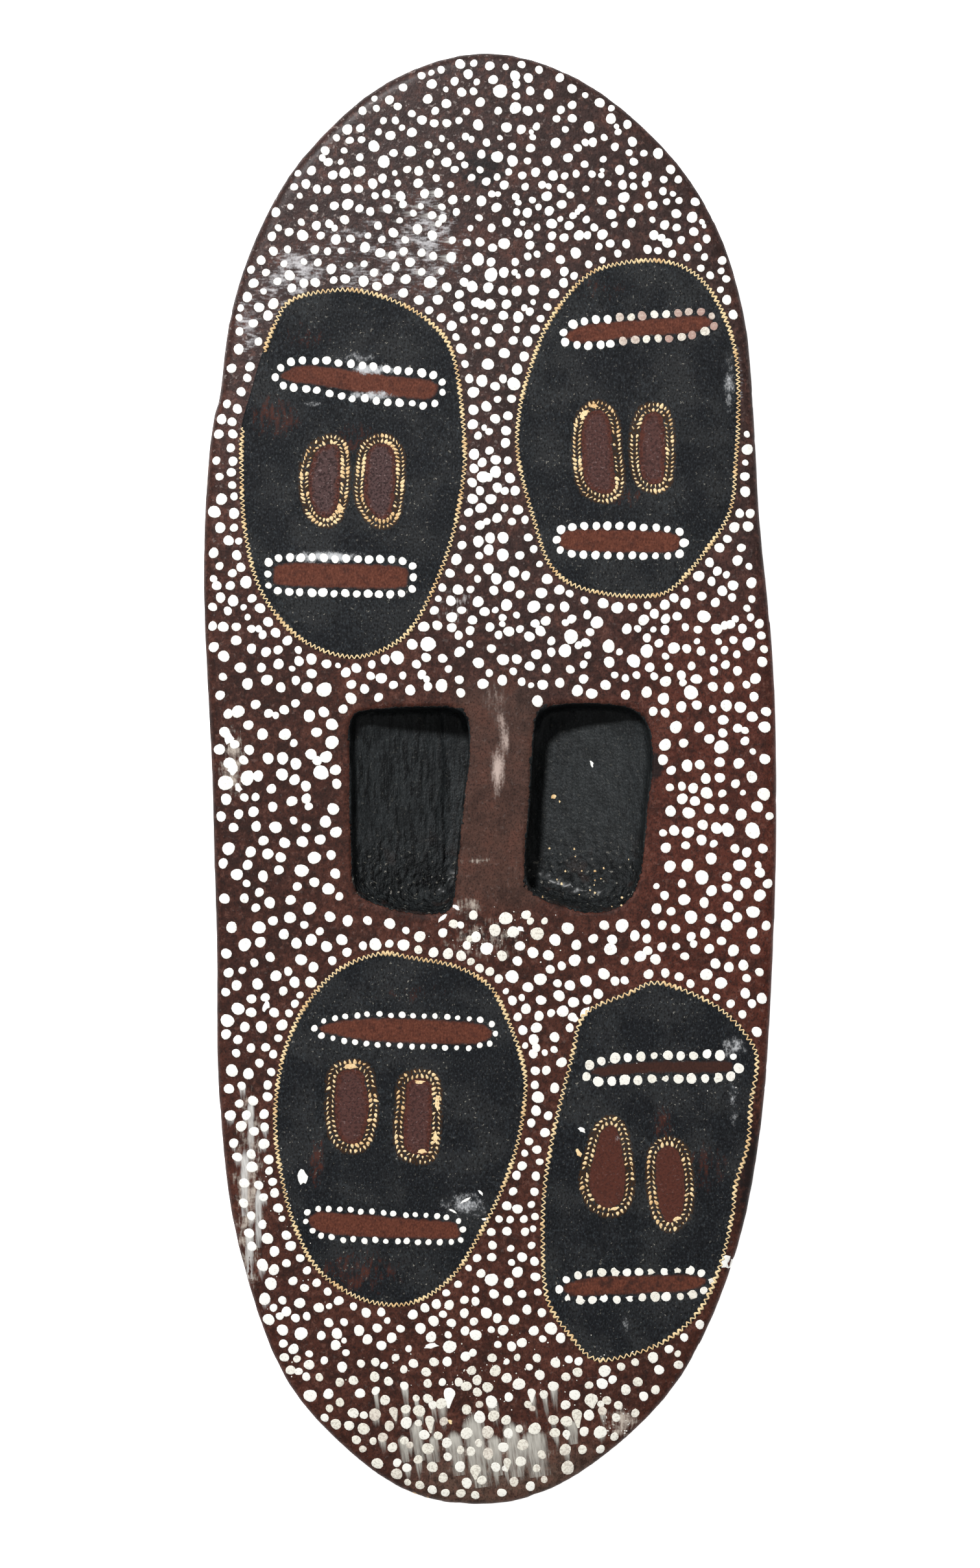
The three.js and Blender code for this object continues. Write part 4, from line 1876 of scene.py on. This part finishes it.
class SHIELD_OT_stage(bpy.types.Operator):
    """Set the floor, the soft light and the camera over the shield"""

    bl_idname = "shield.stage"
    bl_label = "Set the stage"

    def execute(self, context):
        settings = context.scene.shield_stage
        scene = context.scene
        corners = ((-1, -1), (1, -1), (1, 1), (-1, 1))
        vertices = [(x * FLOOR_REACH, y * FLOOR_REACH, FLOOR_Z) for x, y in corners]
        floor = new_mesh_object("floor", vertices, [(0, 1, 2, 3)])
        material, graph = new_material("pale_floor")
        inputs = {
            "Base Color": (0.9, 0.9, 0.9),
            "Roughness": 0.9,
            "Emission Color": (1, 1, 1),
            "Emission Strength": settings.glow,
        }
        shader = graph.add("ShaderNodeBsdfPrincipled", inputs=inputs)
        graph.add("ShaderNodeOutputMaterial", inputs={"Surface": shader})
        floor.data.materials.append(material)

        world = bpy.data.worlds.new("soft_light")
        scene.world = world
        world.use_nodes = True
        world.node_tree.nodes.clear()
        graph = Graph(world.node_tree)
        seen = graph.add("ShaderNodeLightPath", output="Is Camera Ray")
        inputs = {"Color": (1, 1, 1), "Strength": seen.most(settings.sky)}
        background = graph.add("ShaderNodeBackground", inputs=inputs)
        graph.add("ShaderNodeOutputWorld", inputs={"Surface": background})

        key = bpy.data.lights.new("key", "AREA")
        key.shape = "DISK"
        key.size = KEY_SIZE
        key.energy = settings.key
        key_object = bpy.data.objects.new("key", key)
        scene.collection.objects.link(key_object)
        towards = KEY_DIRECTION.normalized()
        key_object.location = towards * KEY_DISTANCE
        key_object.rotation_euler = towards.to_track_quat("Z", "Y").to_euler()

        lens = bpy.data.cameras.new("camera")
        lens.lens = settings.lens
        lens.sensor_width = SENSOR
        lens.sensor_fit = "VERTICAL"
        lens.sensor_height = SENSOR
        lens.clip_end = VIEW_LIMIT
        camera = bpy.data.objects.new("camera", lens)
        scene.collection.objects.link(camera)
        camera.location = (0, CAMERA_Y, FACE_Z - AIM_DEPTH + settings.distance)
        scene.camera = camera
        scene.view_settings.view_transform = "Standard"
        return {"FINISHED"}


class SHIELD_PT_panel(bpy.types.Panel):
    """The shield's pieces, in the order that they are made"""

    bl_idname = "SHIELD_PT_panel"
    bl_label = "Carved shield"
    bl_space_type = "VIEW_3D"
    bl_region_type = "UI"
    bl_category = "Shield"

    def draw(self, context):
        for step in STEPS:
            self.layout.operator(step.bl_idname)
        for name in SETTINGS:
            box = self.layout.box()
            group = getattr(context.scene, name)
            for field in group.bl_rna.properties.keys():
                if field not in ("rna_type", "name"):
                    box.prop(group, field)


STEPS = (
    SHIELD_OT_wood,
    SHIELD_OT_heads,
    SHIELD_OT_lines,
    SHIELD_OT_eye_marks,
    SHIELD_OT_bar_dots,
    SHIELD_OT_ground_dots,
    SHIELD_OT_runs,
    SHIELD_OT_flakes,
    SHIELD_OT_stage,
)
SETTINGS = {
    "shield_wood": WoodSettings,
    "shield_heads": HeadSettings,
    "shield_lines": LineSettings,
    "shield_marks": MarkSettings,
    "shield_dots": DotSettings,
    "shield_stage": StageSettings,
}


def register():
    for group in (*SETTINGS.values(), *STEPS, SHIELD_PT_panel):
        bpy.utils.register_class(group)
    for name, group in SETTINGS.items():
        setattr(bpy.types.Scene, name, PointerProperty(type=group))


def unregister():
    for name in SETTINGS:
        delattr(bpy.types.Scene, name)
    for group in (SHIELD_PT_panel, *reversed(STEPS), *reversed(SETTINGS.values())):
        bpy.utils.unregister_class(group)


def main():
    register()
    for step in STEPS:
        family, name = step.bl_idname.split(".")
        getattr(getattr(bpy.ops, family), name)()


if __name__ == "__main__":
    main()
